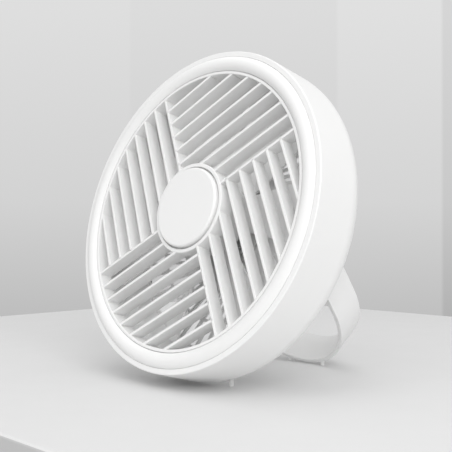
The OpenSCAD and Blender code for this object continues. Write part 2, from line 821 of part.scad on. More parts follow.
// Long screws that clamp the board and the tray to the drum's floor
module board_screws() {
    color(steel) on_axis() for (side = [-1, 1]) translate([0, side * post_y, board_top_s + press])
        mirror([0, 0, 1]) pan_screw(small_screw_r, 1.8 * small_screw_r, 0.9, board_top_s - drum_s - 0.3);
}

module charge_socket() {
    shell = 0.3;
    tongue_h = 0.7;
    color(steel) on_axis() translate([0, socket_down, 0]) {
        difference() {
            stadium(socket_w, socket_h, board_top_s + press, drum_back_s - 0.4);
            stadium(socket_w - 2 * shell, socket_h - 2 * shell, board_top_s + 1.2, drum_back_s + over);
        }
        translate([-socket_w / 2 + 1.4, -tongue_h / 2, board_top_s + 1])
            cube([socket_w - 2.8, tongue_h, drum_back_s - board_s - board_t - 2.4]);
    }
}

module charge_lights() {
    color("aliceblue") on_axis() light_places()
        disc(light_r, board_top_s + 1, drum_back_s, $fn = 24);
}

module switch_body() {
    body_w = 6;
    color("black") on_axis() translate([0, -button_up, 0]) difference() {
        translate([-body_w / 2, -body_w / 2, board_top_s + press]) cube([body_w, body_w, switch_h]);
        disc(switch_r + running, board_top_s + 0.4, board_top_s + switch_h + over, $fn = 40);
    }
}

module switch_plunger() {
    color("ivory") on_axis() translate([0, -button_up, 0])
        disc(switch_r, board_top_s + switch_h - 0.4, button_s, $fn = 40);
}

module power_button() {
    flange_w = 1.2;
    top_s = drum_back_s + button_raise;
    edge = 0.6;
    color(pale) on_axis() translate([0, -button_up, 0]) rotate_extrude() union() {
        translate([0, button_s]) square([button_r, top_s - button_s - edge]);
        translate([0, button_s]) square([button_r - edge, top_s - button_s]);
        translate([button_r - edge, top_s - edge]) circle(r = edge, $fn = 32);
        translate([0, button_s]) square([button_r + flange_w, cover_s - seat - button_s]);
    }
}

module hinge_washers() {
    color("dimgray") on_axis() both_sides() at_hinge() difference() {
        along_x(boss_r - 1, boss_x + seat, boss_x + seat + washer_t);
        along_x(pin_r + turning, boss_x - over, boss_x + band_gap + over);
    }
}

module hinge_pins() {
    color(pale) on_band() both_sides() difference() {
        union() {
            along_x(pin_r, pin_end_x, band_out_x + merge);
            along_x(pin_head_r, band_out_x + press, band_out_x + pin_head_h);
        }
        difference() {
            along_x(pin_r + over, pin_clip_x, pin_clip_x + groove_w);
            along_x(pin_r - pin_groove_d, pin_clip_x - over, boss_in_x);
        }
    }
}

module pin_clips() {
    color(steel) on_band() both_sides() difference() {
        along_x(pin_r + 1.4, pin_clip_x + press, pin_clip_x + groove_w - press);
        along_x(pin_r - pin_groove_d + press, pin_clip_x - over, boss_in_x);
    }
}

// The band's side view: legs that end in a half circle below
module band_outline(half_w) {
    circle(r = half_w, $fn = 160);
    translate([-half_w, 0]) square([2 * half_w, leg_l + band_w]);
}

module band_solid() {
    translate([0, -leg_l, -band_w / 2]) linear_extrude(band_w) children();
}

module stand_band() {
    color(white) on_band() difference() {
        intersection() {
            band_solid() difference() {
                band_outline(band_out_x);
                band_outline(band_in_x);
            }
            union() {
                along_x(band_w / 2, -band_out_x - over, band_out_x + over);
                translate([-band_out_x - over, -leg_l - band_out_x - over, -band_w / 2 - over])
                    cube([2 * (band_out_x + over), leg_l + band_out_x + over, band_w + 2 * over]);
            }
        }
        along_x(pin_r + press, -band_out_x - over, band_out_x + over);
    }
}

module stand_feet() {
    color("gainsboro") difference() {
        both_sides() translate([band_foot_x, band_foot_y, 0])
            cylinder(r = band_foot_r, h = band_foot_h + band_t / 2, $fn = 40);
        on_band() band_solid() difference() {
            circle(r = band_out_x + press, $fn = 160);
            circle(r = band_in_x - press, $fn = 160);
        }
    }
}

module housing_feet() {
    color("gainsboro") difference() {
        both_sides() translate([foot_x, centre_y + foot_y, 0])
            cylinder(r = foot_r, h = rear_round, $fn = 40);
        on_axis() rotate_extrude($fn = 180) offset_outline();
    }
}

// The housing's outside with the seat gap around it, for pieces stuck on it
module offset_outline() {
    polygon(concat(
        [[0, 0], [rim_r + press, 0]],
        arc(flat_r, housing_d - rear_round, rear_round + press, 0, 90, 20),
        [[0, housing_d + press]]
    ));
}

// Extent of a blade's cylinder axis from the blade's middle line
function axis_y(pitch) = blade_camber * sin(pitch);
function axis_z(pitch) = -blade_camber * cos(pitch);

// A curved plate cut from a tube whose axis is tilted, so that its pitch
// falls from the hub to the tip
module blade() {
    from = [hub_r, axis_y(pitch_root), axis_z(pitch_root)];
    to = [blade_tip_r, axis_y(pitch_tip), axis_z(pitch_tip)];
    run = to - from;
    half = [run.x / 2, run.y / 2, run.z / 2];
    length = norm(run);
    tip_round = 8;
    intersection() {
        translate(from + half) rotate([0, acos(run.z / length), atan2(run.y, run.x)])
            difference() {
                cylinder(r = blade_camber + blade_t / 2, h = length * 2, center = true, $fn = 160);
                cylinder(r = blade_camber - blade_t / 2, h = length * 2 + over, center = true, $fn = 160);
            }
        translate([0, 0, tip_front - over]) linear_extrude(blade_back - tip_front + over) polygon(concat(
            [[hub_r - 1.2, -blade_root_w / 2]],
            arc(blade_tip_r - tip_round, -blade_tip_w / 2 + tip_round, tip_round, -90, 0, 6),
            arc(blade_tip_r - tip_round, blade_tip_w / 2 - tip_round, tip_round, 0, 90, 6),
            [[hub_r - 1.2, blade_root_w / 2]]
        ));
        cylinder(r = blade_tip_r, h = 2 * blade_camber, center = true, $fn = 180);
    }
}

module impeller() {
    color(white) on_axis() difference() {
        union() {
            difference() {
                disc(hub_r, hub_s, hub_s + hub_d);
                disc(hub_r - hub_wall, hub_s + hub_front_t, hub_s + hub_d + over);
            }
            disc(hub_boss_r, hub_s, boss_end_s);
            translate([0, 0, blade_s]) for (i = [0 : blade_count - 1])
                rotate([0, 0, i * 360 / blade_count]) blade();
        }
        disc(shaft_r + press, hub_s - over, boss_end_s + over, $fn = 48);
        disc(hub_r - hub_wall, hub_s + hub_front_t + 4, hub_s + hub_d + 6);
    }
}

module rotor_can() {
    color(steel) on_axis() difference() {
        disc(can_r, can_s, hub_s + hub_d - 0.5);
        disc(can_r - can_wall, can_s + can_wall, hub_s + hub_d + over);
        disc(hub_boss_r + press, can_s - over, can_s + 3);
    }
}

module rotor_magnet() {
    color("dimgray") on_axis()
        tube(magnet_r, magnet_r - magnet_t, stator_s - 1, stator_back_s + 1);
}

module motor_shaft() {
    color(steel) on_axis() difference() {
        disc(shaft_r, hub_s + 0.5, clip_s + groove_w + 1, $fn = 48);
        tube(shaft_r + over, shaft_r - shaft_groove_d, clip_s, clip_s + groove_w, $fn = 48);
    }
}

module shaft_clip() {
    color(steel) on_axis()
        tube(shaft_r + 2, shaft_r - shaft_groove_d + press, clip_s + press, clip_s + groove_w - press);
}

housing_shell();
front_ring();
front_grille();
hub_cap();
front_screws();
rear_grille();
rear_screws();
housing_feet();
motor_mount();
front_bearing();
rear_bearing();
stator_core();
stator_coils();
motor_board();
motor_leads();
drum_shell();
drum_screws();
drum_cover();
cover_screws();
battery_tray();
battery_cells();
cell_tabs();
control_board();
board_screws();
charge_socket();
charge_lights();
switch_body();
hinge_washers();
impeller();
rotor_can();
rotor_magnet();
motor_shaft();
shaft_clip();
power_button();
switch_plunger();
stand_band();
hinge_pins();
pin_clips();
stand_feet();
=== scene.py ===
# %% [markdown]
# A rechargeable desk fan, white all over. A round housing leans back on a U-shaped band, and its face is
# a pinwheel of louvres around a flat cap. The working parts come from CAD as one fixed model. Here the
# surfaces that show are modelled again with soft edges, given real plastics and metals, and lit like the
# photograph. Every length is in metres.

# %% Load the fixed model
import json
import math

import bmesh
import bpy
from mathutils import Matrix, Vector


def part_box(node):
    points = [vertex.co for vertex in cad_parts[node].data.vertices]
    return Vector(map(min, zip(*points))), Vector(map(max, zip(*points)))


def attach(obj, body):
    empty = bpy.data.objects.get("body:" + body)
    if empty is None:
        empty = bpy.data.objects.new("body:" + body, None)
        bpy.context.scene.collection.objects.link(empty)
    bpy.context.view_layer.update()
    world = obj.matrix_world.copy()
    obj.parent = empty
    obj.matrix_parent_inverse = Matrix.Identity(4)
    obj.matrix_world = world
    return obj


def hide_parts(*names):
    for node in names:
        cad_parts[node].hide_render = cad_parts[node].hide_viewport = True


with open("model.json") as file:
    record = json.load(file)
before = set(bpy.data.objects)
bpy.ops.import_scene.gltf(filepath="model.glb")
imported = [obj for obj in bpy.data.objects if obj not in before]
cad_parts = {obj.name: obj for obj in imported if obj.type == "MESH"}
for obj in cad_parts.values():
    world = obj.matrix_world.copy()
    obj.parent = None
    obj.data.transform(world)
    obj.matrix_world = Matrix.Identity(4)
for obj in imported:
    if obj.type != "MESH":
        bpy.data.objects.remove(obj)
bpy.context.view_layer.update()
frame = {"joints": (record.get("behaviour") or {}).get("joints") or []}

# %% [markdown]
# The fan is round, so it is easiest to draw lying on its face: Z runs from the face to the back, and Y
# runs down the face. One matrix then stands every piece up and leans it back. The model's own joints
# say where the axis is, so nothing has to be fitted by eye. The band has a matrix of its own: its Y runs
# up the legs to the hinge, and its Z points at its front edge.

# %% Two drawing places
joints = {joint["name"]: joint for joint in frame["joints"]}
face_centre = Vector(joints["impeller_spin"]["pos_m"])
blow_axis = Vector(joints["impeller_spin"]["axis"])
hinge_centre = Vector(joints["stand_hinge"]["pos_m"])
LEAN = math.asin(-blow_axis.z)
BAND_LEAN = math.radians(36.6)
ON_AXIS = Matrix.Translation(face_centre) @ Matrix.Rotation(-math.pi / 2 - LEAN, 4, "X")
ON_BAND = Matrix.Translation(hinge_centre) @ Matrix.Rotation(math.pi / 2 + BAND_LEAN, 4, "X")
print("leans back by", round(math.degrees(LEAN), 2), "degrees")

# %% [markdown]
# These are the fan's driving sizes, the same as in the CAD source. Depths are measured from the plane of
# the seam between the housing and its front ring, backwards along the axis. In the names, R is a radius, W a
# width, T a thickness, L a length and D a depth, and a small s marks a place along the axis. Four common
# rounds soften most edges, and three tiny lengths tell what lies in a plane or has to be merged.

# %% Driving sizes
SEAM_R = 0.1000
LIP_W = 0.0035
HOUSING_D = 0.0430
FLARE = 0.0005
REAR_ROUND = 0.0140
WALL = 0.0024
SEAM_GAP = 0.0003
SEAT = 0.0001
RING_W = 0.0096
RING_CROWN = 0.0022
RING_SEAT = 0.0044
FLANGE_T = 0.0025
RIM_W = 0.0019
SLAT_D = 0.0095
SLAT_RECESS = 0.0003
CAP_R = 0.0256
CAP_RAISE = 0.0022
CAP_GAP = 0.0011
COLLAR_W = 0.0023
PLATE_R = 0.0886
PLATE_T = 0.0024
PLATE_RIM_W = 0.0052
COVER_T = 0.0030
BAND_W = 0.0256
BAND_T = 0.0030
SCREW_HEAD_R = 0.0026
SCREW_SINK = 0.0014
TRACE_ROUND = 0.0001
FINE_ROUND = 0.0002
SOFT_ROUND = 0.0003
WIDE_ROUND = 0.0004
HAIR = 1e-5
MERGE_GAP = 1e-6
TINY = 1e-7
STEPS = 240

rim_r = SEAM_R + LIP_W
back_r = rim_r + FLARE
flat_r = back_r - REAR_ROUND
ring_mid_r = SEAM_R - RING_W / 2
rim_out_r = SEAM_R - RING_W - SEAM_GAP / 2
louvre_back = SLAT_RECESS + SLAT_D
collar_in_r = CAP_R + CAP_GAP
collar_r = collar_in_r + COLLAR_W
plate_s = HOUSING_D - PLATE_T
drum_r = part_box("drum_cover")[1].x
band_out_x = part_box("stand_band")[1].x
print("the drum is", round(drum_r * 2000, 1), "mm across and the band", round(band_out_x * 2000, 1))

# %% [markdown]
# Most pieces are turned ones, like pots on a wheel. A helper draws half of the cut-through shape as a
# face, rounds its corners with a vertex bevel, drops the face but keeps its outline, and spins that once
# round. A corner is (radius, depth, round). An outline that starts and ends on the axis leaves out the
# edge along the axis, and merging by distance closes the pole.

# %% The lathe
def rounded(bm, geom, radius, segments, affect="EDGES", **options):
    """Rounds edges, or the corners of an outline."""
    bmesh.ops.bevel(bm, geom=geom, offset=radius, affect=affect, segments=segments, profile=0.5,
                    material=-1, **options)


def half_outline(corners, round_steps):
    """A bmesh that holds the closed outline of the corners, in the XZ plane."""
    bm = bmesh.new()
    verts = [bm.verts.new((r, 0, s)) for r, s, _ in corners]
    bm.faces.new(verts)
    for vert, (_, _, radius) in zip(verts, corners):
        if radius:
            rounded(bm, [vert], radius, round_steps, "VERTICES")
    bmesh.ops.delete(bm, geom=bm.faces[:], context="FACES_ONLY")
    on_pole = [e for e in bm.edges if all(abs(v.co.x) < TINY for v in e.verts)]
    bmesh.ops.delete(bm, geom=on_pole, context="EDGES")
    return bm


def face_outwards(bm):
    bmesh.ops.recalc_face_normals(bm, faces=bm.faces)


def turn(bm, steps=STEPS):
    """Spins what the bmesh holds once round Z and closes it."""
    bmesh.ops.spin(bm, geom=bm.verts[:] + bm.edges[:], cent=(0, 0, 0), axis=(0, 0, 1),
                   angle=2 * math.pi, steps=steps, use_merge=True)
    bmesh.ops.remove_doubles(bm, verts=bm.verts, dist=MERGE_GAP)
    face_outwards(bm)
    return bm


def turned(corners, steps=STEPS, round_steps=6):
    """A turned shape from the corners of its half outline."""
    return turn(half_outline(corners, round_steps), steps)


print("a full turn has", STEPS, "steps")

# %% [markdown]
# Every piece ends the same way: its place goes into its mesh, so its object stays at the origin, and it
# rides on the body it belongs to. Faces are shaded smooth, but edges sharper than 32 degrees stay sharp. A
# Weighted Normal modifier keeps the large flat faces flat next to their small rounds.

# %% Finishing a piece
SHARP_FROM = 32


def into_object(name, bm):
    """Puts a bmesh into the scene as an object and lets the bmesh go."""
    mesh = bpy.data.meshes.new(name)
    bm.to_mesh(mesh)
    bm.free()
    obj = bpy.data.objects.new(name, mesh)
    bpy.context.scene.collection.objects.link(obj)
    return obj


def piece(name, bm, place, body, stands_for):
    """Makes an object of a bmesh, puts it in place and hangs it on its body."""
    bmesh.ops.transform(bm, matrix=place, verts=bm.verts)
    obj = into_object(name, bm)
    obj.data.shade_smooth()
    obj.data.set_sharp_from_angle(angle=math.radians(SHARP_FROM))
    weighted = obj.modifiers.new("flat faces stay flat", "WEIGHTED_NORMAL")
    weighted.keep_sharp = True
    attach(obj, body)
    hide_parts(*stands_for)
    print(name, len(obj.data.polygons), "faces")

# %% [markdown]
# A piece is often made of several shapes, such as a hub and its blades. A shape that repeats is built once
# and copied round the axis, which is quicker than building it again, and all are joined while they are still
# bmeshes. A circle of screws starts half a step round.

# %% Joining and copying
def joined(*parts):
    """One bmesh that holds all the given ones."""
    whole = bmesh.new()
    for part in parts:
        mesh = bpy.data.meshes.new("part")
        part.to_mesh(mesh)
        part.free()
        whole.from_mesh(mesh)
        bpy.data.meshes.remove(mesh)
    return whole


def moved(bm, x, y, z=0):
    """Shifts a bmesh and gives it back."""
    bmesh.ops.translate(bm, vec=(x, y, z), verts=bm.verts)
    return bm


def copies_around(bm, count, radius, start=0):
    """Copies of a bmesh on a circle, as one bmesh; the first is at the start, in degrees."""
    parts = []
    for i in range(count):
        part = bm.copy()
        place = Matrix.Rotation(math.radians(start) + i * 2 * math.pi / count, 4, "Z")
        bmesh.ops.transform(part, matrix=place @ Matrix.Translation((radius, 0, 0)), verts=part.verts)
        parts.append(part)
    return joined(*parts)


def screw_circle(bm, count, radius):
    """Copies for a circle of screws; the first one sits half a step round."""
    return copies_around(bm, count, radius, 180 / count)

# %% [markdown]
# The housing is one moulding. A narrow lip frames the front ring, the side widens by half a millimetre
# towards the back, and a large round runs into the rear face. A lathe outline gives all of it, with the
# ledges that carry the two grilles. The screw bosses inside are small tubes around the ledges.

# %% Housing
LIP_ROUND = 0.0008
LEDGE_T = 0.0024
LEDGE_MARGIN = 0.0010
REAR_LEDGE_INSET = 0.0006
INNER_BEND = 0.0040
INNER_BEND_L = 0.0045
ledge_s = RING_SEAT + FLANGE_T + SEAT
ledge_back_s = ledge_s + LEDGE_T
ledge_in_r = ring_mid_r - SCREW_HEAD_R - LEDGE_MARGIN
plate_hole_r = PLATE_R + SEAM_GAP
rear_ledge_s = plate_s - SEAT
rear_ledge_r = PLATE_R - PLATE_RIM_W + REAR_LEDGE_INSET
round_s = HOUSING_D - REAR_ROUND
inner_r = back_r - WALL
bend_end_s = rear_ledge_s - LEDGE_T
bend_end_r = flat_r + math.sqrt((REAR_ROUND - WALL) ** 2 - (bend_end_s - round_s) ** 2)
housing_outline = [
    (SEAM_R, 0, FINE_ROUND), (rim_r, 0, LIP_ROUND), (back_r, round_s, 0),
    (back_r, HOUSING_D, REAR_ROUND - HAIR), (plate_hole_r, HOUSING_D, WIDE_ROUND),
    (plate_hole_r, rear_ledge_s, 0), (rear_ledge_r, rear_ledge_s, FINE_ROUND),
    (rear_ledge_r, bend_end_s, FINE_ROUND), (bend_end_r, bend_end_s, 0),
    (inner_r, bend_end_s - INNER_BEND_L, INNER_BEND), (rim_r - WALL + FLARE / 4, ledge_back_s, 0),
    (ledge_in_r, ledge_back_s, SOFT_ROUND), (ledge_in_r, ledge_s, SOFT_ROUND), (SEAM_R, ledge_s, 0),
]
BOSS_BORE_R = 0.0015
FRONT_SCREWS = 4
FRONT_BOSS_R = 0.0034
FRONT_BOSS_L = 0.0070
REAR_SCREWS = 6
REAR_BOSS_R = 0.0029
REAR_BOSS_L = 0.0030
REAR_SCREW_OUTSET = 0.0002
rear_screw_r = PLATE_R - PLATE_RIM_W / 2 + REAR_SCREW_OUTSET


def boss(radius, start, end):
    """A tube for a screw to bite into."""
    return turned([(BOSS_BORE_R, start, 0), (radius, start, SOFT_ROUND),
                   (radius, end, SOFT_ROUND), (BOSS_BORE_R, end, 0)], steps=32, round_steps=2)


front_boss = boss(FRONT_BOSS_R, ledge_back_s - SEAT, ledge_back_s + FRONT_BOSS_L)
rear_boss = boss(REAR_BOSS_R, bend_end_s - REAR_BOSS_L, bend_end_s + SEAT)
housing = joined(
    turned(housing_outline, round_steps=16),
    screw_circle(front_boss, FRONT_SCREWS, ring_mid_r),
    screw_circle(rear_boss, REAR_SCREWS, rear_screw_r),
)
piece("housing", housing, ON_AXIS, "fan", ["housing_shell"])

# %% [markdown]
# The front ring is a rounded bead between two thin seams. Its crown is a flat arc of a circle, so it starts
# as a filled circle that is cut off at the seams' plane, and the cut edge is pulled down to the seat. The two
# corners get a small round, the face goes, and the outline is spun.

# %% Front ring
def only_verts(geom):
    """The corners among what an operator gives back."""
    return [v for v in geom if isinstance(v, bmesh.types.BMVert)]


def bead():
    """The bead's cut-through shape, spun: a flat arc on two straight sides."""
    half = (RING_W - SEAM_GAP) / 2
    crown_r = (half ** 2 + RING_CROWN ** 2) / (2 * RING_CROWN)
    place = Matrix.Translation((0, 0, crown_r - RING_CROWN)) @ Matrix.Rotation(math.pi / 2, 4, "X")
    bm = bmesh.new()
    bmesh.ops.create_circle(bm, cap_ends=True, segments=180, radius=crown_r, matrix=place)
    bmesh.ops.bisect_plane(bm, geom=bm.verts[:] + bm.edges[:] + bm.faces[:], plane_co=(0, 0, 0),
                           plane_no=(0, 0, 1), clear_outer=True)
    seam_line = [e for e in bm.edges if all(abs(v.co.z) < TINY for v in e.verts)]
    corners = [v for e in seam_line for v in e.verts]
    lowered = bmesh.ops.extrude_edge_only(bm, edges=seam_line)["geom"]
    bmesh.ops.translate(bm, vec=(0, 0, RING_SEAT - SEAT), verts=only_verts(lowered))
    bmesh.ops.dissolve_edges(bm, edges=seam_line, use_verts=False)
    rounded(bm, corners, FINE_ROUND, 4, "VERTICES")
    bmesh.ops.delete(bm, geom=bm.faces[:], context="FACES_ONLY")
    return turn(moved(bm, ring_mid_r, 0))


piece("front_bead", bead(), ON_AXIS, "fan", ["front_ring"])

# %% [markdown]
# The louvres are four quarters of parallel slats. Each quarter stands square to the next, so each first
# slat closes off the ends of its neighbours and the face turns like a pinwheel. A slat is a thin box with
# rounded edges, a touch thinner at the back, as a mould needs. Its ends are sunk in the rim, in the collar
# or in the neighbouring slat, so no gap can show. Rim, flange and collar are turned.

# %% Louvres
QUARTERS = 4
SLATS = 8
SLAT_PITCH = 0.0111
SLAT_FIRST = 0.0006
SLAT_T = 0.0017
SLAT_DRAFT = 0.86
SLAT_TURN = 30
rim_in_r = rim_out_r - RIM_W
rim_mid_r = rim_out_r - RIM_W / 2
collar_mid_r = collar_r - COLLAR_W / 2


def plain_box(size):
    """A sharp box around the origin."""
    bm = bmesh.new()
    bmesh.ops.create_cube(bm, size=1)
    bmesh.ops.scale(bm, vec=size, verts=bm.verts)
    return bm


def edges_along(bm, axis):
    """The edges of a plain box that run along X (0), Y (1) or Z (2)."""
    return [e for e in bm.edges if abs(e.verts[0].co[axis] - e.verts[1].co[axis]) > MERGE_GAP]


def slat(x):
    """One slat at a distance from the centre line, running out to the rim."""
    start = math.sqrt(collar_mid_r ** 2 - x ** 2) if x < collar_mid_r else -SLAT_FIRST
    end = math.sqrt(rim_mid_r ** 2 - (x + SLAT_T / 2) ** 2)
    bm = plain_box((SLAT_T, end - start, SLAT_D))
    rear = [v for v in bm.verts if v.co.z > 0]
    bmesh.ops.scale(bm, vec=(SLAT_DRAFT, 1, 1), verts=rear)
    rounded(bm, edges_along(bm, 1), FINE_ROUND, 3)
    return moved(bm, x, (start + end) / 2, SLAT_RECESS + SLAT_D / 2)


HUB_FLOOR_T = 0.0020
CAP_SEAT = 0.0030
CAP_LEDGE_W = 0.0022
COLLAR_ROUND = 0.0005
hub_floor_s = louvre_back - HUB_FLOOR_T
skirt_hole_r = collar_in_r - CAP_LEDGE_W
flange_r = SEAM_R - SEAM_GAP
flange_back_s = RING_SEAT + FLANGE_T
rim_outline = [
    (rim_in_r, 0, WIDE_ROUND), (rim_out_r, 0, SOFT_ROUND), (rim_out_r, RING_SEAT, 0),
    (flange_r, RING_SEAT, FINE_ROUND), (flange_r, flange_back_s, FINE_ROUND),
    (rim_out_r, flange_back_s, FINE_ROUND), (rim_out_r, louvre_back, FINE_ROUND),
    (rim_in_r, louvre_back, SOFT_ROUND),
]
collar_outline = [
    (0, hub_floor_s, 0), (skirt_hole_r, hub_floor_s, 0), (skirt_hole_r, CAP_SEAT, TRACE_ROUND),
    (collar_in_r, CAP_SEAT, 0), (collar_in_r, 0, SOFT_ROUND), (collar_r, 0, COLLAR_ROUND),
    (collar_r, louvre_back, SOFT_ROUND), (0, louvre_back, 0),
]
louvre_quarter = joined(*[slat(SLAT_FIRST + i * SLAT_PITCH) for i in range(SLATS)])
louvres = joined(
    turned(rim_outline, round_steps=4),
    turned(collar_outline, round_steps=5, steps=160),
    copies_around(louvre_quarter, QUARTERS, 0, -SLAT_TURN),
)
piece("louvres", louvres, ON_AXIS, "fan", ["front_grille"])

# %% [markdown]
# The hub cap is a flat button that stands a little proud of the louvres, with a soft round edge and a
# skirt that clips into the collar. A gap of 1.1 mm around it draws the dark line in the photograph.

# %% Hub cap
CAP_EDGE = 0.0014
SKIRT_T = 0.0016
SKIRT_CLEAR = 0.0024
cap_seat_s = CAP_SEAT - SEAT / 2
skirt_r = skirt_hole_r - SEAT
skirt_in_r = skirt_r - SKIRT_T
skirt_end_s = louvre_back - SKIRT_CLEAR
cap_outline = [
    (0, -CAP_RAISE, 0), (CAP_R, -CAP_RAISE, CAP_EDGE), (CAP_R, cap_seat_s, SOFT_ROUND),
    (skirt_r, cap_seat_s, 0), (skirt_r, skirt_end_s, SOFT_ROUND), (skirt_in_r, skirt_end_s, SOFT_ROUND),
    (skirt_in_r, cap_seat_s, FINE_ROUND), (0, cap_seat_s, 0),
]
piece("cap", turned(cap_outline, round_steps=8, steps=200), ON_AXIS, "fan", ["hub_cap"])

# %% [markdown]
# The impeller shows as pale streaks between the slats. It has a cup-shaped hub and seven blades. A blade
# is a grid that is bent over a round of 60 mm, steeper at the hub than at the tip, then given its thickness
# and soft edges. The bend is the CAD blade's own, so both have the same place.

# %% Impeller
BLADES = 7
BLADE_TIP_R = 0.0840
BLADE_T = 0.0018
BLADE_EDGE = 0.0005
BLADE_SINK = 0.0005
BLADE_CAMBER = 0.0600
PITCH_ROOT = math.radians(42)
PITCH_TIP = math.radians(25)
ROOT_W = 0.0150
TIP_W = 0.0360
TIP_STARTS = 0.86
TIP_LENGTH = 0.15
TIP_NARROWS = 0.28
HUB_R = 0.0240
HUB_WALL = 0.0016
HUB_FRONT_T = 0.0020
HUB_ROUND = 0.0010
HUB_BORE_R = 0.0020
HUB_GAP = 0.0022
HUB_CLEAR = 0.0091
NECK_R = 0.0050
NECK_L = 0.0017
MOUNT_T = 0.0024
hub_s = louvre_back + HUB_GAP
hub_in_s = hub_s + HUB_FRONT_T
neck_end_s = hub_in_s + NECK_L
hub_back_s = plate_s - SEAT - MOUNT_T - HUB_CLEAR
hub_in_r = HUB_R - HUB_WALL


def bend_axis(pitch):
    """The middle of the round that a blade of this pitch is bent over."""
    return Vector((BLADE_CAMBER * math.sin(pitch), -BLADE_CAMBER * math.cos(pitch)))


def bend_depth(x, y):
    """Depth of the blade's middle face at a place along it and across it."""
    along = (x - HUB_R) / (BLADE_TIP_R - HUB_R)
    axis = bend_axis(PITCH_ROOT).lerp(bend_axis(PITCH_TIP), along)
    return axis.y + math.sqrt(BLADE_CAMBER ** 2 - (y - axis.x) ** 2)


def sharp_edges(bm):
    """The edges whose two faces turn by more than a radian."""
    return [e for e in bm.edges if e.calc_face_angle(0) > 1]


blade_s = hub_s + BLADE_SINK - bend_depth(BLADE_TIP_R, -TIP_W / 2) + BLADE_T / 2


def blade():
    """One bent blade, from the middle of the hub's wall to its tip."""
    bm = bmesh.new()
    bmesh.ops.create_grid(bm, x_segments=22, y_segments=14, size=0.5)
    root_r = HUB_R - HUB_WALL / 2
    for vert in bm.verts:
        along, across = vert.co.x + 0.5, vert.co.y
        r = root_r + along * (BLADE_TIP_R - root_r)
        rounding = math.sqrt(max(0, 1 - max(0, (along - TIP_STARTS) / TIP_LENGTH) ** 2))
        y = across * (ROOT_W + along * (TIP_W - ROOT_W)) * (1 - TIP_NARROWS + TIP_NARROWS * rounding)
        x = math.sqrt(r * r - y * y)
        vert.co = (x, y, bend_depth(x, y))
    bmesh.ops.solidify(bm, geom=bm.faces[:], thickness=BLADE_T)
    moved(bm, 0, 0, blade_s)
    face_outwards(bm)
    rounded(bm, sharp_edges(bm), BLADE_EDGE, 3, clamp_overlap=True)
    return bm


hub_outline = [
    (HUB_BORE_R, hub_s, 0), (HUB_R, hub_s, HUB_ROUND), (HUB_R, hub_back_s, WIDE_ROUND),
    (hub_in_r, hub_back_s, WIDE_ROUND), (hub_in_r, hub_in_s, SOFT_ROUND), (NECK_R, hub_in_s, 0),
    (NECK_R, neck_end_s, FINE_ROUND), (HUB_BORE_R, neck_end_s, 0),
]
impeller = joined(turned(hub_outline, steps=120), copies_around(blade(), BLADES, 0))
piece("impeller_moulding", impeller, ON_AXIS, "rotor", ["impeller"])

# %% [markdown]
# Holes are cut with a Boolean modifier that is evaluated at once, so only the finished mesh stays. Most
# cutters are turned shapes too. The sharp rims that the cut left in the cover are then found by their angle
# and softened, because a moulded hole never has a knife edge.

# %% Cutting holes
CUT_BEYOND = 0.0020
SINK_L = 0.0200
sink_r = SCREW_HEAD_R + 0.0002
shank_hole_r = BOSS_BORE_R + 0.0002


def cut(bm, cutter):
    """Takes the cutter's shape out of the bmesh and gives the rest back."""
    body = into_object("uncut", bm)
    tool = into_object("cutter", cutter)
    boolean = body.modifiers.new("holes", "BOOLEAN")
    boolean.operation = "DIFFERENCE"
    boolean.solver = "EXACT"
    boolean.use_self = True
    boolean.object = tool
    done = bpy.data.meshes.new_from_object(body.evaluated_get(bpy.context.evaluated_depsgraph_get()))
    result = bmesh.new()
    result.from_mesh(done)
    meshes = (body.data, tool.data, done)
    for obj in (body, tool):
        bpy.data.objects.remove(obj)
    for mesh in meshes:
        bpy.data.meshes.remove(mesh)
    bmesh.ops.remove_doubles(result, verts=result.verts, dist=MERGE_GAP)
    return result


def soften(bm, depth, radius, segments=2):
    """Rounds the sharp edges that lie in the plane at this depth."""
    edges = [e for e in sharp_edges(bm) if all(abs(v.co.z - depth) < HAIR for v in e.verts)]
    rounded(bm, edges, radius, segments, clamp_overlap=True)
    return bm


def screw_sink(face):
    """The cutter for a sunk screw: wide down to the head's seat, then as wide as the shank."""
    floor, above, below = face - SCREW_SINK, face + CUT_BEYOND, face - SINK_L
    return turned([(0, above, 0), (sink_r, above, 0), (sink_r, floor, 0), (shank_hole_r, floor, 0),
                   (shank_hole_r, below, 0), (0, below, 0)], steps=40)


print("a screw's head sinks into a hole", round(sink_r * 2000, 1), "mm wide")

# %% [markdown]
# Air comes in through the back, between sixty thin bars that are swept like the spokes of a wheel. One bar is
# a soft box, turned 32 degrees out of the radius and copied round. Its ends are sunk in the hub plate and in
# the rim. A thin hoop ties the bars together halfway.

# %% Rear grille
BARS = 60
BAR_W = 0.0020
BAR_SHY = 0.0003
BAR_SKEW = math.radians(32)
BAR_SINK_IN = 0.0010
BAR_SINK_OUT = 0.0015
HOOP_R = 0.0650
HOOP_W = 0.0020
PLATE_MARGIN = 0.0015
hub_plate_r = drum_r + PLATE_MARGIN
plate_in_r = PLATE_R - PLATE_RIM_W
bar_from_r = hub_plate_r - BAR_SINK_IN
bar_to_r = plate_in_r + BAR_SINK_OUT
bar_offset = bar_from_r * math.sin(BAR_SKEW)
bar_l = math.sqrt(bar_to_r ** 2 - bar_offset ** 2) - bar_from_r * math.cos(BAR_SKEW)


def soft_box(size, middle, radius, segments=2):
    """A box with all its edges rounded."""
    bm = plain_box(size)
    rounded(bm, bm.edges[:], radius, segments)
    return moved(bm, *middle)


def rear_bar():
    bar = soft_box((bar_l, BAR_W, PLATE_T - BAR_SHY), (bar_l / 2, 0, plate_s + PLATE_T / 2), WIDE_ROUND)
    bmesh.ops.rotate(bar, cent=(0, 0, 0), matrix=Matrix.Rotation(BAR_SKEW, 3, "Z"), verts=bar.verts)
    return bar


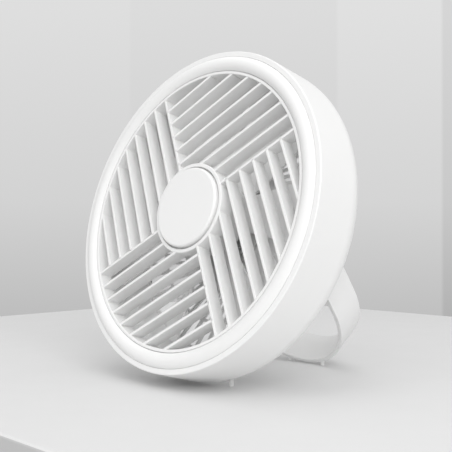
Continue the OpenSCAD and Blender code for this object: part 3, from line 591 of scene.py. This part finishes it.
def flat_ring(inside, outside, start, end):
    """A flat turned ring with rounded edges."""
    return turned([(inside, start, WIDE_ROUND), (outside, start, WIDE_ROUND),
                   (outside, end, WIDE_ROUND), (inside, end, WIDE_ROUND)], round_steps=3)


rear_rim = cut(flat_ring(plate_in_r, PLATE_R, plate_s, HOUSING_D),
               screw_circle(screw_sink(HOUSING_D), REAR_SCREWS, rear_screw_r))
rear_grille = joined(
    rear_rim,
    flat_ring(HOOP_R - HOOP_W / 2, HOOP_R + HOOP_W / 2, plate_s + BAR_SHY, HOUSING_D - BAR_SHY),
    turned([(0, plate_s, 0), (hub_plate_r, plate_s, SOFT_ROUND),
            (hub_plate_r, HOUSING_D, SOFT_ROUND), (0, HOUSING_D, 0)]),
    copies_around(rear_bar(), BARS, bar_from_r),
)
piece("rear_bars", rear_grille, ON_AXIS, "fan", ["rear_grille"])

# %% [markdown]
# The drum on the back holds the battery and carries the hinge. It is a plain turned cup with a boss on each
# side. The bosses are turned along Z like everything else and then laid across, because turning a finished
# shape is simpler than drawing it sideways.

# %% Rear drum
DRUM_D = 0.0330
BOSS_R = 0.0094
BOSS_PROUD = 0.0012
BOSS_INWARD = 0.0080
BOSS_ROUND = 0.0006
PIN_R = 0.0040
COVER_GAP = 0.0001
COVER_EDGE = 0.00025
hinge_s = (ON_AXIS.inverted() @ hinge_centre).z
drum_s = HOUSING_D + SEAT
drum_back_s = drum_s + DRUM_D
cover_s = drum_back_s - COVER_T
drum_end_s = cover_s - COVER_GAP
drum_in_r = drum_r - WALL
boss_x = drum_r + BOSS_PROUD
boss_in_x = drum_r - BOSS_INWARD


def crosswise(bm, side, depth=0):
    """Lays a shape that was turned along Z across the fan, to the right (1) or to the left (-1)."""
    place = Matrix.Translation((0, 0, depth)) @ Matrix.Rotation(side * math.pi / 2, 4, "Y")
    bmesh.ops.transform(bm, matrix=place, verts=bm.verts)
    return bm


def hinge_boss(side):
    return crosswise(turned([(PIN_R, boss_in_x, 0), (BOSS_R, boss_in_x, 0), (BOSS_R, boss_x, BOSS_ROUND),
                             (PIN_R, boss_x, SOFT_ROUND)], steps=96), side, hinge_s)


drum_outline = [
    (0, drum_s, 0), (drum_r, drum_s, SOFT_ROUND), (drum_r, drum_end_s, COVER_EDGE),
    (drum_in_r, drum_end_s, FINE_ROUND), (drum_in_r, drum_s + WALL, 0), (0, drum_s + WALL, 0),
]
drum = joined(turned(drum_outline, round_steps=3), hinge_boss(1), hinge_boss(-1))
piece("drum", drum, ON_AXIS, "fan", ["drum_shell"])

# %% [markdown]
# The cover closes the drum. It starts as a filled circle that is extruded to a plate, because a single large
# face takes holes more cleanly than a turned one. It has a round hole for the power button, a slot for the
# charging lead, four holes for the light pipes and four sunk screws.

# %% Drum cover
COVER_ROUND = 0.0020
BUTTON_R = 0.0070
BUTTON_GAP = 0.00008
BUTTON_Y = -0.0150
PORT_Y = 0.0190
PORT_W = 0.0093
PORT_H = 0.0036
PORT_ROUND = 0.499
LIGHTS = 4
LIGHT_R = 0.0011
LIGHT_GAP = 0.00004
LIGHT_Y = 0.0030
LIGHT_PITCH = 0.0050
COVER_SCREWS = 4
COVER_BOSS_R = 0.0034
COVER_BOSS_GAP = 0.0008
cover_screw_r = drum_in_r - COVER_BOSS_R - COVER_BOSS_GAP
below = cover_s - CUT_BEYOND
above = drum_back_s + CUT_BEYOND


def cover_plate():
    """The plate without its holes, with rounded outer edges."""
    bm = bmesh.new()
    bmesh.ops.create_circle(bm, cap_ends=True, segments=STEPS, radius=drum_r,
                            matrix=Matrix.Translation((0, 0, cover_s)))
    raised = bmesh.ops.extrude_face_region(bm, geom=bm.faces[:])["geom"]
    bmesh.ops.translate(bm, vec=(0, 0, COVER_T), verts=only_verts(raised))
    face_outwards(bm)
    soften(bm, drum_back_s, COVER_ROUND, 8)
    return soften(bm, cover_s, COVER_EDGE)


def plug(radius, steps):
    """A round bar through the cover."""
    return turned([(0, below, 0), (radius, below, 0), (radius, above, 0), (0, above, 0)], steps=steps)


def slot_plug():
    """A bar through the cover whose ends are as good as half-round."""
    bm = plain_box((PORT_W, PORT_H, above - below))
    rounded(bm, edges_along(bm, 2), PORT_H * PORT_ROUND, 12)
    return moved(bm, 0, PORT_Y, (below + above) / 2)


def along_lights(bm):
    """A copy of the bmesh at each of the light pipes."""
    first = -(LIGHTS - 1) / 2
    return joined(*[moved(bm.copy(), (first + i) * LIGHT_PITCH, LIGHT_Y) for i in range(LIGHTS)])


cover_holes = joined(
    moved(plug(BUTTON_R + BUTTON_GAP, 96), 0, BUTTON_Y),
    slot_plug(),
    along_lights(plug(LIGHT_R + LIGHT_GAP, 32)),
    screw_circle(screw_sink(drum_back_s), COVER_SCREWS, cover_screw_r),
)
cover = soften(cut(cover_plate(), cover_holes), drum_back_s, SOFT_ROUND)
piece("cover", cover, ON_AXIS, "fan", ["drum_cover"])

# %% [markdown]
# The power button is turned, with a shallow dish that guides a fingertip. It slides in its hole, so it rides
# on its own body. The lights are short clear pipes with a slightly domed end.

# %% Button and light pipes
BUTTON_PROUD = 0.0007
BUTTON_ROUND = 0.0006
BUTTON_LIP_W = 0.0012
BUTTON_LIP_D = 0.0008
DISH_R = 0.0055
DISH_EDGE = 0.0008
DISH_D = 0.00022
DISH_FLOOR_R = 0.0040
DISH_ROUND = 0.0020
DISH_MIDDLE_D = 0.00028
PIPE_DOME = 0.00012
PIPE_INWARD = 0.0020
button_top_s = drum_back_s + BUTTON_PROUD
lip_r = BUTTON_R + BUTTON_LIP_W
lip_top_s = cover_s - SEAT
lip_end_s = cover_s - BUTTON_LIP_D
button_outline = [
    (0, button_top_s - DISH_MIDDLE_D, 0), (DISH_FLOOR_R, button_top_s - DISH_D, DISH_ROUND),
    (DISH_R, button_top_s, DISH_EDGE), (BUTTON_R, button_top_s, BUTTON_ROUND), (BUTTON_R, lip_top_s, 0),
    (lip_r, lip_top_s, FINE_ROUND), (lip_r, lip_end_s, FINE_ROUND), (0, lip_end_s, 0),
]
button = moved(turned(button_outline, steps=128), 0, BUTTON_Y)
piece("button_cap", button, ON_AXIS, "button", ["power_button"])
pipe_end_s = cover_s - PIPE_INWARD
light_pipe = turned([(0, drum_back_s, 0), (LIGHT_R, drum_back_s - PIPE_DOME, TRACE_ROUND),
                     (LIGHT_R, pipe_end_s, TRACE_ROUND), (0, pipe_end_s, 0)], steps=32, round_steps=2)
piece("light_pipes", along_lights(light_pipe), ON_AXIS, "fan", ["charge_lights"])

# %% [markdown]
# The screws that show have pan heads: a low dome with a cross recess. One head is turned, its recess is cut
# with two crossed boxes, and the copies are set in the sunk holes of the rim and of the cover.

# %% Screws
HEAD_SHY = 0.0002
HEAD_FLAT = 0.55
HEAD_DOME = 0.0004
HEAD_DOME_ROUND = 0.0010
SHANK_L = 0.0050
CROSS_L = 0.0031
CROSS_W = 0.0007
CROSS_D = 0.0014


def pan_head(face):
    """A screw whose head fills a sunk hole below this face."""
    seat, top = face - SCREW_SINK, face - HEAD_SHY
    end = seat - SHANK_L
    head = turned([(0, top, 0), (SCREW_HEAD_R * HEAD_FLAT, top, HEAD_DOME_ROUND),
                   (SCREW_HEAD_R, top - HEAD_DOME, SOFT_ROUND), (SCREW_HEAD_R, seat, TRACE_ROUND),
                   (BOSS_BORE_R, seat, 0), (BOSS_BORE_R, end, WIDE_ROUND), (0, end, 0)],
                  steps=40, round_steps=3)
    cross = joined(*[soft_box(size, (0, 0, top), TRACE_ROUND, 1)
                     for size in ((CROSS_L, CROSS_W, CROSS_D), (CROSS_W, CROSS_L, CROSS_D))])
    return cut(head, cross)


rim_heads = screw_circle(pan_head(HOUSING_D), REAR_SCREWS, rear_screw_r)
piece("rim_screws", rim_heads, ON_AXIS, "fan", ["rear_screws"])
cover_heads = screw_circle(pan_head(drum_back_s), COVER_SCREWS, cover_screw_r)
piece("drum_cover_screws", cover_heads, ON_AXIS, "fan", ["cover_screws"])

# %% [markdown]
# The stand is one strip bent into a U. Its edge view is half a circle with two straight legs, so a circle is
# cut in half, its ends are pulled up, and the line is extruded across the band's width. The half-round tabs
# are the strip's corners, rounded. A wall is then grown inwards and its edges get a small round.

# %% Stand band
BAND_FLOOR_GAP = 0.00055
BAND_EDGE = 0.0005
TAB_ROUND = 0.4995
front_edge_drop = BAND_W / 2 * math.sin(BAND_LEAN)
leg_l = (hinge_centre.z - BAND_FLOOR_GAP - front_edge_drop) / math.cos(BAND_LEAN) - band_out_x
print("legs are", round(leg_l * 1000, 2), "mm long")


def strip():
    """Half a circle with two legs, made as wide as the band and given its wall."""
    bm = bmesh.new()
    bmesh.ops.create_circle(bm, segments=160, radius=band_out_x,
                            matrix=Matrix.Translation((0, -leg_l, 0)))
    bmesh.ops.bisect_plane(bm, geom=bm.verts[:] + bm.edges[:], plane_co=(0, -leg_l, 0),
                           plane_no=(0, 1, 0), dist=TINY, clear_outer=True)
    ends = [v for v in bm.verts if len(v.link_edges) == 1]
    tops = bmesh.ops.extrude_vert_indiv(bm, verts=ends)["verts"]
    for vert in tops:
        vert.co.y = BAND_W / 2
    swept = bmesh.ops.extrude_edge_only(bm, edges=bm.edges[:])["geom"]
    bmesh.ops.translate(bm, vec=(0, 0, BAND_W), verts=only_verts(swept))
    moved(bm, 0, 0, -BAND_W / 2)
    corners = [v for v in bm.verts if v.co.y > BAND_W / 2 - MERGE_GAP]
    rounded(bm, corners, BAND_W * TAB_ROUND, 24, "VERTICES")
    face_outwards(bm)
    outwards = max(bm.faces, key=lambda f: f.calc_center_median().x)
    if outwards.normal.x < 0:
        bmesh.ops.reverse_faces(bm, faces=bm.faces)
    bmesh.ops.solidify(bm, geom=bm.faces[:], thickness=BAND_T)
    face_outwards(bm)
    rounded(bm, sharp_edges(bm), BAND_EDGE, 3, clamp_overlap=True)
    return bm


band = strip()
xs = [v.co.x for v in band.verts]
ys = [v.co.y for v in band.verts]
print("band spans", round(min(xs), 4), round(max(xs), 4), round(min(ys), 4), round(max(ys), 4))
piece("band", band, ON_BAND, "stand", ["stand_band"])

# %% [markdown]
# Two pins carry the fan in the band. Each has a wide flat head outside and a thin shank that runs through
# the band and the drum's boss. The head is what shows, so its rim is well rounded and its face has a shallow
# dish.

# %% Hinge pins
PIN_HEAD_R = 0.0075
PIN_HEAD_H = 0.0016
PIN_HEAD_AIR = 0.00002
PIN_HEAD_ROUND = 0.0007
PIN_DISH_R = 0.0058
PIN_DISH_EDGE = 0.0006
PIN_DISH_D = 0.0002
PIN_FLOOR_R = 0.0050
PIN_FLOOR_ROUND = 0.0010
CLIP_GAP = 0.0003
CLIP_T = 0.0008
PIN_TAIL = 0.0011
pin_end_x = boss_in_x - CLIP_GAP - CLIP_T - PIN_TAIL
pin_neck_x = band_out_x + PIN_HEAD_AIR
pin_top_x = band_out_x + PIN_HEAD_H
pin_floor_x = pin_top_x - PIN_DISH_D
pin_outline = [
    (0, pin_end_x, 0), (PIN_R, pin_end_x, WIDE_ROUND), (PIN_R, pin_neck_x, 0),
    (PIN_HEAD_R, pin_neck_x, TRACE_ROUND), (PIN_HEAD_R, pin_top_x, PIN_HEAD_ROUND),
    (PIN_DISH_R, pin_top_x, PIN_DISH_EDGE), (PIN_FLOOR_R, pin_floor_x, PIN_FLOOR_ROUND),
    (0, pin_floor_x, 0),
]
pins = joined(*[crosswise(turned(pin_outline, steps=96), side) for side in (1, -1)])
piece("pins", pins, ON_BAND, "stand", ["hinge_pins"])

# %% [markdown]
# Small milky pads keep the fan from sliding: two under the housing's edge and two under the band's bend. A
# pad is a short turned peg that stands upright on the desk and is sunk in the piece above it. The CAD model
# says where each pair stands, how far it spreads and how high it reaches.

# %% Rubber pads
PAD_SINK = 0.0004
PAD_R = {"housing_feet": 0.0016, "stand_feet": 0.0014}


def pads(node):
    """A pair of pegs, one on each side, in the place of this node."""
    low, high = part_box(node)
    r, top = PAD_R[node], high.z + PAD_SINK
    pair = []
    for side in (1, -1):
        peg = turned([(0, 0, 0), (r, 0, WIDE_ROUND), (r, top, 0), (0, top, 0)], steps=48)
        pair.append(moved(peg, side * (high.x - r), (low.y + high.y) / 2))
    return joined(*pair)


piece("band_pads", pads("stand_feet"), Matrix(), "stand", ["stand_feet"])
piece("housing_pads", pads("housing_feet"), Matrix(), "fan", ["housing_feet"])

# %% [markdown]
# Finishes are built from shader nodes. Written out, each node takes several lines, so a few helpers make a
# group with named sockets, add a node with its values, lay a texture on a place, and feed a socket.

# %% Node helpers
def new_group(name, inputs):
    """A node group that gives a colour, a roughness and a normal; a tuple among its inputs is a colour."""
    group = bpy.data.node_groups.new(name, "ShaderNodeTree")
    for label, value in inputs.items():
        kind = "NodeSocketColor" if isinstance(value, tuple) else "NodeSocketFloat"
        group.interface.new_socket(label, in_out="INPUT", socket_type=kind).default_value = value
    for kind, label in (("Color", "Color"), ("Float", "Roughness"), ("Vector", "Normal")):
        group.interface.new_socket(label, in_out="OUTPUT", socket_type="NodeSocket" + kind)
    return group, group.nodes.new("NodeGroupInput"), group.nodes.new("NodeGroupOutput")


def add(tree, kind, **values):
    """Adds a node and sets its properties or its sockets' values by name."""
    node = tree.nodes.new("ShaderNode" + kind)
    for key, value in values.items():
        if key in node.bl_rna.properties:
            setattr(node, key, value)
        else:
            node.inputs[key.replace("_", " ")].default_value = value
    return node


def texture(tree, kind, place, **values):
    """Adds a texture or a mapping that reads this place."""
    node = add(tree, kind, **values)
    tree.links.new(place, node.inputs["Vector"])
    return node


def feed(tree, socket, value):
    """Gives a socket a number, or links another socket to it."""
    if isinstance(value, (int, float)):
        socket.default_value = value
    else:
        tree.links.new(value, socket)

# %% [markdown]
# Four steps come back in most of the finishes: a sum or a quotient, a range mapped to another, a colour made
# darker by a mask, and a height turned into a normal. Each is a function that gives back a socket, so a
# finish reads from the inside out like a formula. The last one links its normal to a target itself.

# %% Values and relief
def math_node(tree, operation, first, second):
    """Maths on two values."""
    node = add(tree, "Math", operation=operation)
    feed(tree, node.inputs[0], first)
    feed(tree, node.inputs[1], second)
    return node.outputs[0]


def ramp(tree, value, low, high, from_low=0.0, from_high=1.0):
    """Maps a value from one range to another, without going past the ends."""
    node = add(tree, "MapRange", From_Min=from_low, From_Max=from_high)
    tree.links.new(value, node.inputs["Value"])
    feed(tree, node.inputs["To Min"], low)
    feed(tree, node.inputs["To Max"], high)
    return node.outputs["Result"]


def tinted(tree, colour, amount, factor):
    """Multiplies a colour by a grey that the factor darkens by up to this amount."""
    shade = math_node(tree, "SUBTRACT", 1.0, math_node(tree, "MULTIPLY", factor, amount))
    mix = add(tree, "VectorMath", operation="SCALE")
    tree.links.new(colour, mix.inputs[0])
    tree.links.new(shade, mix.inputs["Scale"])
    return mix.outputs[0]


def relief(tree, height, distance, strength, target):
    """Turns a height into a normal for the target node."""
    bump = add(tree, "Bump", Strength=strength)
    feed(tree, bump.inputs["Distance"], distance)
    tree.links.new(height, bump.inputs["Height"])
    tree.links.new(bump.outputs["Normal"], target.inputs["Normal"])

# %% [markdown]
# Most of the fan is one white ABS plastic, moulded in a fine spark-eroded mould. Its surface scatters light
# softly, with a grain too fine to see from afar and slow changes of gloss where the plastic cooled. Several
# materials share that effect, so it is a node group with its own values in each material. It gives a colour,
# a roughness and a normal, and the shader stays in the material.

# %% Moulded plastic group
def moulded_plastic():
    group, given, out = new_group("Moulded plastic", {
        "Color": (0.8, 0.8, 0.8, 1), "Roughness": 0.4, "Grain size": 0.0004, "Grain depth": 0.00001,
        "Shade change": 0.02})
    place = add(group, "TexCoord").outputs["Object"]
    cooled = texture(group, "TexNoise", place, Scale=26.0, Detail=3.0, Roughness=0.55)
    grain = texture(group, "TexNoise", place, Detail=2.0, Roughness=0.6)
    group.links.new(math_node(group, "DIVIDE", 1.0, given.outputs["Grain size"]), grain.inputs["Scale"])
    slow = ramp(group, cooled.outputs["Fac"], 0.0, 1.0, 0.3, 0.7)
    colour = tinted(group, given.outputs["Color"], given.outputs["Shade change"], slow)
    group.links.new(colour, out.inputs["Color"])
    gloss = math_node(group, "ADD", given.outputs["Roughness"], ramp(group, slow, -0.03, 0.05))
    gloss = math_node(group, "ADD", gloss, ramp(group, grain.outputs["Fac"], -0.03, 0.03, 0.3, 0.7))
    group.links.new(gloss, out.inputs["Roughness"])
    relief(group, grain.outputs["Fac"], given.outputs["Grain depth"], 0.8, out)
    return group


PLASTIC = moulded_plastic()
print("group", PLASTIC.name, "with", len(PLASTIC.nodes), "nodes")

# %% [markdown]
# Metal parts are turned or stamped. Fine rings or streaks from the tool lie in the surface, and they change
# the gloss more than the colour. The group stretches a noise along one direction, which a Mapping node sets.

# %% Machined metal group
def machined_metal():
    group, given, out = new_group("Machined metal", {
        "Color": (0.6, 0.6, 0.6, 1), "Roughness": 0.3, "Streak size": 0.0002, "Streak depth": 0.000006,
        "Tarnish": 0.15})
    place = add(group, "TexCoord").outputs["Object"]
    stretched = texture(group, "Mapping", place, Scale=(1.0, 0.08, 1.0)).outputs[0]
    streaks = texture(group, "TexNoise", stretched, Detail=4.0, Roughness=0.7)
    group.links.new(math_node(group, "DIVIDE", 1.0, given.outputs["Streak size"]), streaks.inputs["Scale"])
    stain = texture(group, "TexNoise", place, Scale=160.0, Detail=4.0, Roughness=0.6)
    spots = ramp(group, stain.outputs["Fac"], 0.0, 1.0, 0.45, 0.75)
    colour = tinted(group, given.outputs["Color"], given.outputs["Tarnish"], spots)
    group.links.new(colour, out.inputs["Color"])
    gloss = math_node(group, "ADD", given.outputs["Roughness"],
                      ramp(group, streaks.outputs["Fac"], -0.08, 0.1, 0.3, 0.7))
    gloss = math_node(group, "ADD", gloss, ramp(group, spots, 0.0, 0.1))
    group.links.new(gloss, out.inputs["Roughness"])
    relief(group, streaks.outputs["Fac"], given.outputs["Streak depth"], 0.6, out)
    return group


METAL = machined_metal()
print("group", METAL.name, "with", len(METAL.nodes), "nodes")

# %% [markdown]
# A material is a Principled shader with one of the groups in front of it. Values that are the same all over,
# such as the metallic amount or the coat, are set on the shader's own sockets.

# %% Materials
def new_material(name, shader_values):
    """A node material, its tree and its shader, with some of the shader's values set by name."""
    material = bpy.data.materials.new(name)
    material.use_nodes = True
    shader = material.node_tree.nodes["Principled BSDF"]
    for key, value in shader_values.items():
        shader.inputs[key.replace("_", " ")].default_value = value
    return material, material.node_tree, shader


def surface(name, group, values, shader_values):
    """A material whose colour, roughness and normal come from a group."""
    material, tree, shader = new_material(name, shader_values)
    node = tree.nodes.new("ShaderNodeGroup")
    node.node_tree = group
    for key, value in values.items():
        node.inputs[key].default_value = value
    for output, target in (("Color", "Base Color"), ("Roughness", "Roughness"), ("Normal", "Normal")):
        tree.links.new(node.outputs[output], shader.inputs[target])
    return material


def plastic(name, colour, roughness, grain=0.0005, depth=0.00001, change=0.02, **shader_values):
    values = {"Color": (*colour, 1), "Roughness": roughness, "Grain size": grain, "Grain depth": depth,
              "Shade change": change}
    return surface(name, PLASTIC, values, shader_values)


def metal(name, colour, roughness, streak=0.0003, tarnish=0.15):
    values = {"Color": (*colour, 1), "Roughness": roughness, "Streak size": streak, "Tarnish": tarnish}
    return surface(name, METAL, values, {"Metallic": 1.0})


def dress(material, *names):
    """Gives the material to pieces or to CAD nodes by name."""
    for name in names:
        mesh = bpy.data.objects[name].data
        mesh.materials.clear()
        mesh.materials.append(material)
    print(material.name, "on", ", ".join(names))


WHITE = (0.88, 0.88, 0.876)
dress(plastic("satin white housing plastic", WHITE, 0.48, change=0.015), "housing")
dress(plastic("smooth white ring plastic", WHITE, 0.55, grain=0.0008, depth=0.000004, change=0.012,
              Specular_IOR_Level=0.35), "front_bead")
dress(plastic("satin white louvre plastic", WHITE, 0.42), "louvres")
dress(plastic("smooth white cap plastic", WHITE, 0.48, grain=0.0008, depth=0.000004, change=0.012), "cap")
dress(plastic("satin white band plastic", WHITE, 0.4, change=0.015), "band")
dress(plastic("smooth white blade plastic", WHITE, 0.35, grain=0.0008, depth=0.000005), "impeller_moulding")
dress(plastic("fine-grained white drum plastic", WHITE, 0.48, grain=0.0006, depth=0.00002),
      "rear_bars", "drum", "cover")
dress(plastic("glossy white button plastic", WHITE, 0.25, grain=0.001, depth=0.000003, change=0.01),
      "button_cap")
dress(plastic("satin white pin plastic", WHITE, 0.42), "pins")
dress(plastic("milky silicone", (0.9, 0.9, 0.895), 0.35, grain=0.0006, change=0.04, IOR=1.41),
      "band_pads", "housing_pads")
dress(plastic("clear light pipe", (0.86, 0.9, 0.88), 0.15, grain=0.001, depth=0.000003, change=0.03,
              Transmission_Weight=0.6, IOR=1.49), "light_pipes")

# %% [markdown]
# Inside, the CAD parts stay as they are and get their own finishes: zinc-plated screws, ground bearings, dark
# tray plastic, ferrite, and so on. They can be seen through the grilles and when a part is taken apart.

# %% Inner parts
dress(metal("zinc-plated screw steel", (0.62, 0.62, 0.6), 0.32),
      "rim_screws", "drum_cover_screws", "front_screws", "drum_screws", "board_screws", "shaft_clip",
      "pin_clips")
dress(metal("ground bearing steel", (0.56, 0.57, 0.59), 0.2, streak=0.0002),
      "front_bearing", "rear_bearing", "motor_shaft", "charge_socket")
dress(metal("stamped can steel", (0.5, 0.5, 0.51), 0.36, streak=0.0004, tarnish=0.2), "rotor_can")
dress(metal("nickel strip", (0.66, 0.64, 0.6), 0.26), "cell_tabs")
dress(plastic("white mount plastic", (0.78, 0.78, 0.77), 0.5, depth=0.00002, change=0.03), "motor_mount")
dress(plastic("dark tray plastic", (0.035, 0.037, 0.04), 0.55, depth=0.00003, change=0.15), "battery_tray")
dress(plastic("black switch plastic", (0.02, 0.02, 0.021), 0.45, change=0.2), "switch_body")
dress(plastic("ivory plunger plastic", (0.72, 0.68, 0.56), 0.4, change=0.05), "switch_plunger")
dress(plastic("grey washer plastic", (0.16, 0.16, 0.165), 0.5, change=0.1), "hinge_washers")
dress(plastic("ferrite magnet", (0.05, 0.05, 0.055), 0.6, grain=0.0003, depth=0.00003, change=0.3),
      "rotor_magnet")
dress(plastic("red lead insulation", (0.55, 0.03, 0.025), 0.4, change=0.08), "motor_leads")

# %% [markdown]
# Four inner parts have a pattern of their own. The stator is a stack of thin sheets, so a wave makes fine
# lines along its depth. The coils are wound wire, a circuit board has tracks under green lacquer, and a cell
# has a shrink sleeve with a lengthwise sheen, which is painted sheen: lighter bands in the sleeve's colour.
# One texture gives each its two tones, its gloss and its relief.

# %% Patterned inner parts
def patterned(name, pattern, dark, light, roughness, depth, **shader_values):
    """A material whose colour runs between two tones by a texture that also gives the relief."""
    material, tree, shader = new_material(name, shader_values)
    height = pattern(tree, add(tree, "TexCoord").outputs["Object"])
    tones = add(tree, "Mix", data_type="RGBA")
    tree.links.new(height, tones.inputs[0])
    tones.inputs[6].default_value = (*dark, 1)
    tones.inputs[7].default_value = (*light, 1)
    tree.links.new(tones.outputs[2], shader.inputs["Base Color"])
    tree.links.new(ramp(tree, height, roughness + 0.1, roughness), shader.inputs["Roughness"])
    relief(tree, height, depth, 0.7, shader)
    return material


def bands(direction, per_metre, tilt=(0, 0, 0)):
    """Straight bands, this many in a metre, across a direction of the object."""
    def pattern(tree, place):
        tilted = texture(tree, "Mapping", place, Rotation=tilt).outputs[0]
        wave = texture(tree, "TexWave", tilted, bands_direction=direction, Scale=per_metre * math.pi / 10,
                       Distortion=0.3)
        return wave.outputs["Fac"]
    return pattern


def tracks(tree, place):
    """The thin lines between the cells of a stretched brick pattern, like tracks on a board."""
    tilted = texture(tree, "Mapping", place, Rotation=(math.pi / 2 - LEAN, 0, 0)).outputs[0]
    brick = texture(tree, "TexBrick", tilted, Scale=220.0, Mortar_Size=0.03, Brick_Width=0.9, Row_Height=0.35,
                    Color1=(0, 0, 0, 1), Color2=(0.25, 0.25, 0.25, 1), Mortar=(1, 1, 1, 1))
    return brick.outputs["Color"]


axis_tilt = (-LEAN, 0, 0)
dress(patterned("stacked core sheets", bands("Y", 2000, axis_tilt), (0.09, 0.09, 0.1), (0.3, 0.3, 0.32),
                0.4, 0.00005, Metallic=1.0), "stator_core")
dress(patterned("wound copper wire", bands("Y", 2200, axis_tilt), (0.25, 0.07, 0.02), (0.72, 0.3, 0.13),
                0.3, 0.0001, Metallic=1.0), "stator_coils")
dress(patterned("green circuit board", tracks, (0.008, 0.07, 0.03), (0.02, 0.17, 0.06), 0.3, 0.00003,
                Coat_Weight=0.5, Coat_Roughness=0.15), "motor_board", "control_board")
# The sleeve's lighter lengthwise bands are painted sheen in its colour.
dress(patterned("blue cell sleeve with painted sheen", bands("X", 60), (0.012, 0.06, 0.22), (0.02, 0.09, 0.3), 0.3, 0.00001,
                Coat_Weight=0.3, Coat_Roughness=0.2), "battery_cells")

# %% [markdown]
# The fan stands on a pale slab with a corner towards the camera, in front of a grey room. The slab catches
# the soft shadow. Its upright faces are painted darker than its top, as in the photograph; that darker colour
# is painted shade, not a paint the slab has.

# %% Table
TABLE_LOW = Vector((-0.440, -0.1987, -0.120))
TABLE_HIGH = Vector((0.900, 0.4163, 0.0))
TABLE_ROUND = 0.0015
TOP_FROM = 0.7
slab = soft_box(TABLE_HIGH - TABLE_LOW, (TABLE_HIGH + TABLE_LOW) / 2, TABLE_ROUND, 3)
table = into_object("table", slab)
dress(plastic("pale painted table", (0.76, 0.76, 0.76), 0.6, grain=0.002, change=0.01), "table")
# The second material is painted shade: it makes every upright face of the slab darker than the top.
table.data.materials.append(plastic("painted shade on table edge", (0.60, 0.60, 0.60), 0.6, grain=0.002, change=0.01))
for face in table.data.polygons:
    face.material_index = 0 if face.normal.z > TOP_FROM else 1

# %% [markdown]
# The light in the photograph is bright and soft. A large lamp on the right lights the near sides of the
# upright slats and the housing's side. A wide one overhead reaches the desk behind the fan and the inside of
# the band. Two weaker ones in front, one high and one low, light the face, and the pale room does the rest.

# %% Light
LAMP_AIM = Vector((0, 0, 0.1))
LAMPS = {
    "key lamp": ((1.35, -0.75, 1.05), 1.0, 12),
    "overhead lamp": ((0.1, 0.1, 1.9), 1.5, 7),
    "low front lamp": ((0.9, -1.4, 0.35), 0.8, 3.4),
    "high front lamp": ((0.35, -1.25, 1.7), 1.0, 6.4),
}


def aimed(place, direction):
    """The matrix of a lamp or camera that stands at a place and looks in a direction."""
    return Matrix.Translation(place) @ direction.to_track_quat("-Z", "Y").to_matrix().to_4x4()


for name, (place, size, watts) in LAMPS.items():
    data = bpy.data.lights.new(name, "AREA")
    data.shape = "SQUARE"
    data.size = size
    data.energy = watts
    lamp = bpy.data.objects.new(name, data)
    lamp.matrix_world = aimed(place, LAMP_AIM - Vector(place))
    bpy.context.scene.collection.objects.link(lamp)
    print(name, watts, "W")

# %% [markdown]
# The wall behind is out of focus, so it is only a shade of the world: darker towards the desk, with wide
# panels whose three edges are barely seen. The world's direction gives both: how far it points up and to the
# right, as a share of how far it points ahead. What the camera sees is this wall, what a reflection sees is
# a plain grey, and what lights the fan is the room's level.

# %% Wall
HEADING_X = -0.7113
HEADING_Y = 0.7029
ROOM_LIGHT = 0.55
ROOM_GREY = 0.66
DESK_GREY = 0.456
MIDDLE_GREY = 0.648
TOP_BRIGHTER = 0.085
DESK_RISE = -0.165
MIDDLE_RISE = 0.035
TOP_RISE = 0.275
PANEL_EDGES = ((-0.119, -0.018), (0.138, 0.032), (0.2685, -0.078))
EDGE_BLUR = 0.002
world = bpy.data.worlds.new("pale room")
bpy.context.scene.world = world
world.use_nodes = True
room = world.node_tree


def share(tree, place, direction):
    """How far a direction of the world points this way."""
    dot = add(tree, "VectorMath", operation="DOT_PRODUCT")
    tree.links.new(place, dot.inputs[0])
    dot.inputs[1].default_value = direction
    return dot.outputs["Value"]


def wall_shade(tree):
    """The wall's grey: two ramps up the wall, and a small step at each edge of a panel."""
    place = add(tree, "TexCoord").outputs["Generated"]
    ahead = share(tree, place, (HEADING_X, HEADING_Y, 0))
    across = math_node(tree, "DIVIDE", share(tree, place, (HEADING_Y, -HEADING_X, 0)), ahead)
    upwards = math_node(tree, "DIVIDE", share(tree, place, (0, 0, 1)), ahead)
    low_part = ramp(tree, upwards, DESK_GREY, MIDDLE_GREY, DESK_RISE, MIDDLE_RISE)
    high_part = ramp(tree, upwards, 0.0, TOP_BRIGHTER, MIDDLE_RISE, TOP_RISE)
    shade = math_node(tree, "ADD", low_part, high_part)
    for edge, change in PANEL_EDGES:
        step = ramp(tree, across, 0.0, change, edge - EDGE_BLUR, edge + EDGE_BLUR)
        shade = math_node(tree, "ADD", shade, step)
    return shade


paths = add(room, "LightPath")
mirrored = math_node(room, "MAXIMUM", paths.outputs["Is Glossy Ray"], paths.outputs["Is Transmission Ray"])
behind = ramp(room, mirrored, ROOM_LIGHT, ROOM_GREY)
level = ramp(room, paths.outputs["Is Camera Ray"], behind, wall_shade(room))
background = room.nodes["Background"]
background.inputs["Color"].default_value = (1, 1, 1, 1)
room.links.new(level, background.inputs["Strength"])
print("world has", len(room.nodes), "nodes")

# %% [markdown]
# The camera stands low in front of the fan, to the right as one faces it, so the housing's side shows too.
# Its place was found from the round face, the hub, the slats and the feet in the photograph.

# %% Camera
CAMERA_PLACE = (0.37326, -0.38960, 0.09581)
PITCH = math.radians(0.284)
camera_data = bpy.data.cameras.new("camera")
camera_data.sensor_width = 36
camera_data.lens = 64.19
camera_data.clip_start = 0.01
camera = bpy.data.objects.new("camera", camera_data)
look = Vector((HEADING_X * math.cos(PITCH), HEADING_Y * math.cos(PITCH), math.sin(PITCH)))
camera.matrix_world = aimed(CAMERA_PLACE, look)
bpy.context.scene.collection.objects.link(camera)
bpy.context.scene.camera = camera
bpy.context.scene.view_settings.view_transform = "Standard"
print("camera stands", round(Vector(CAMERA_PLACE).length, 3), "m from the fan's place on the desk")
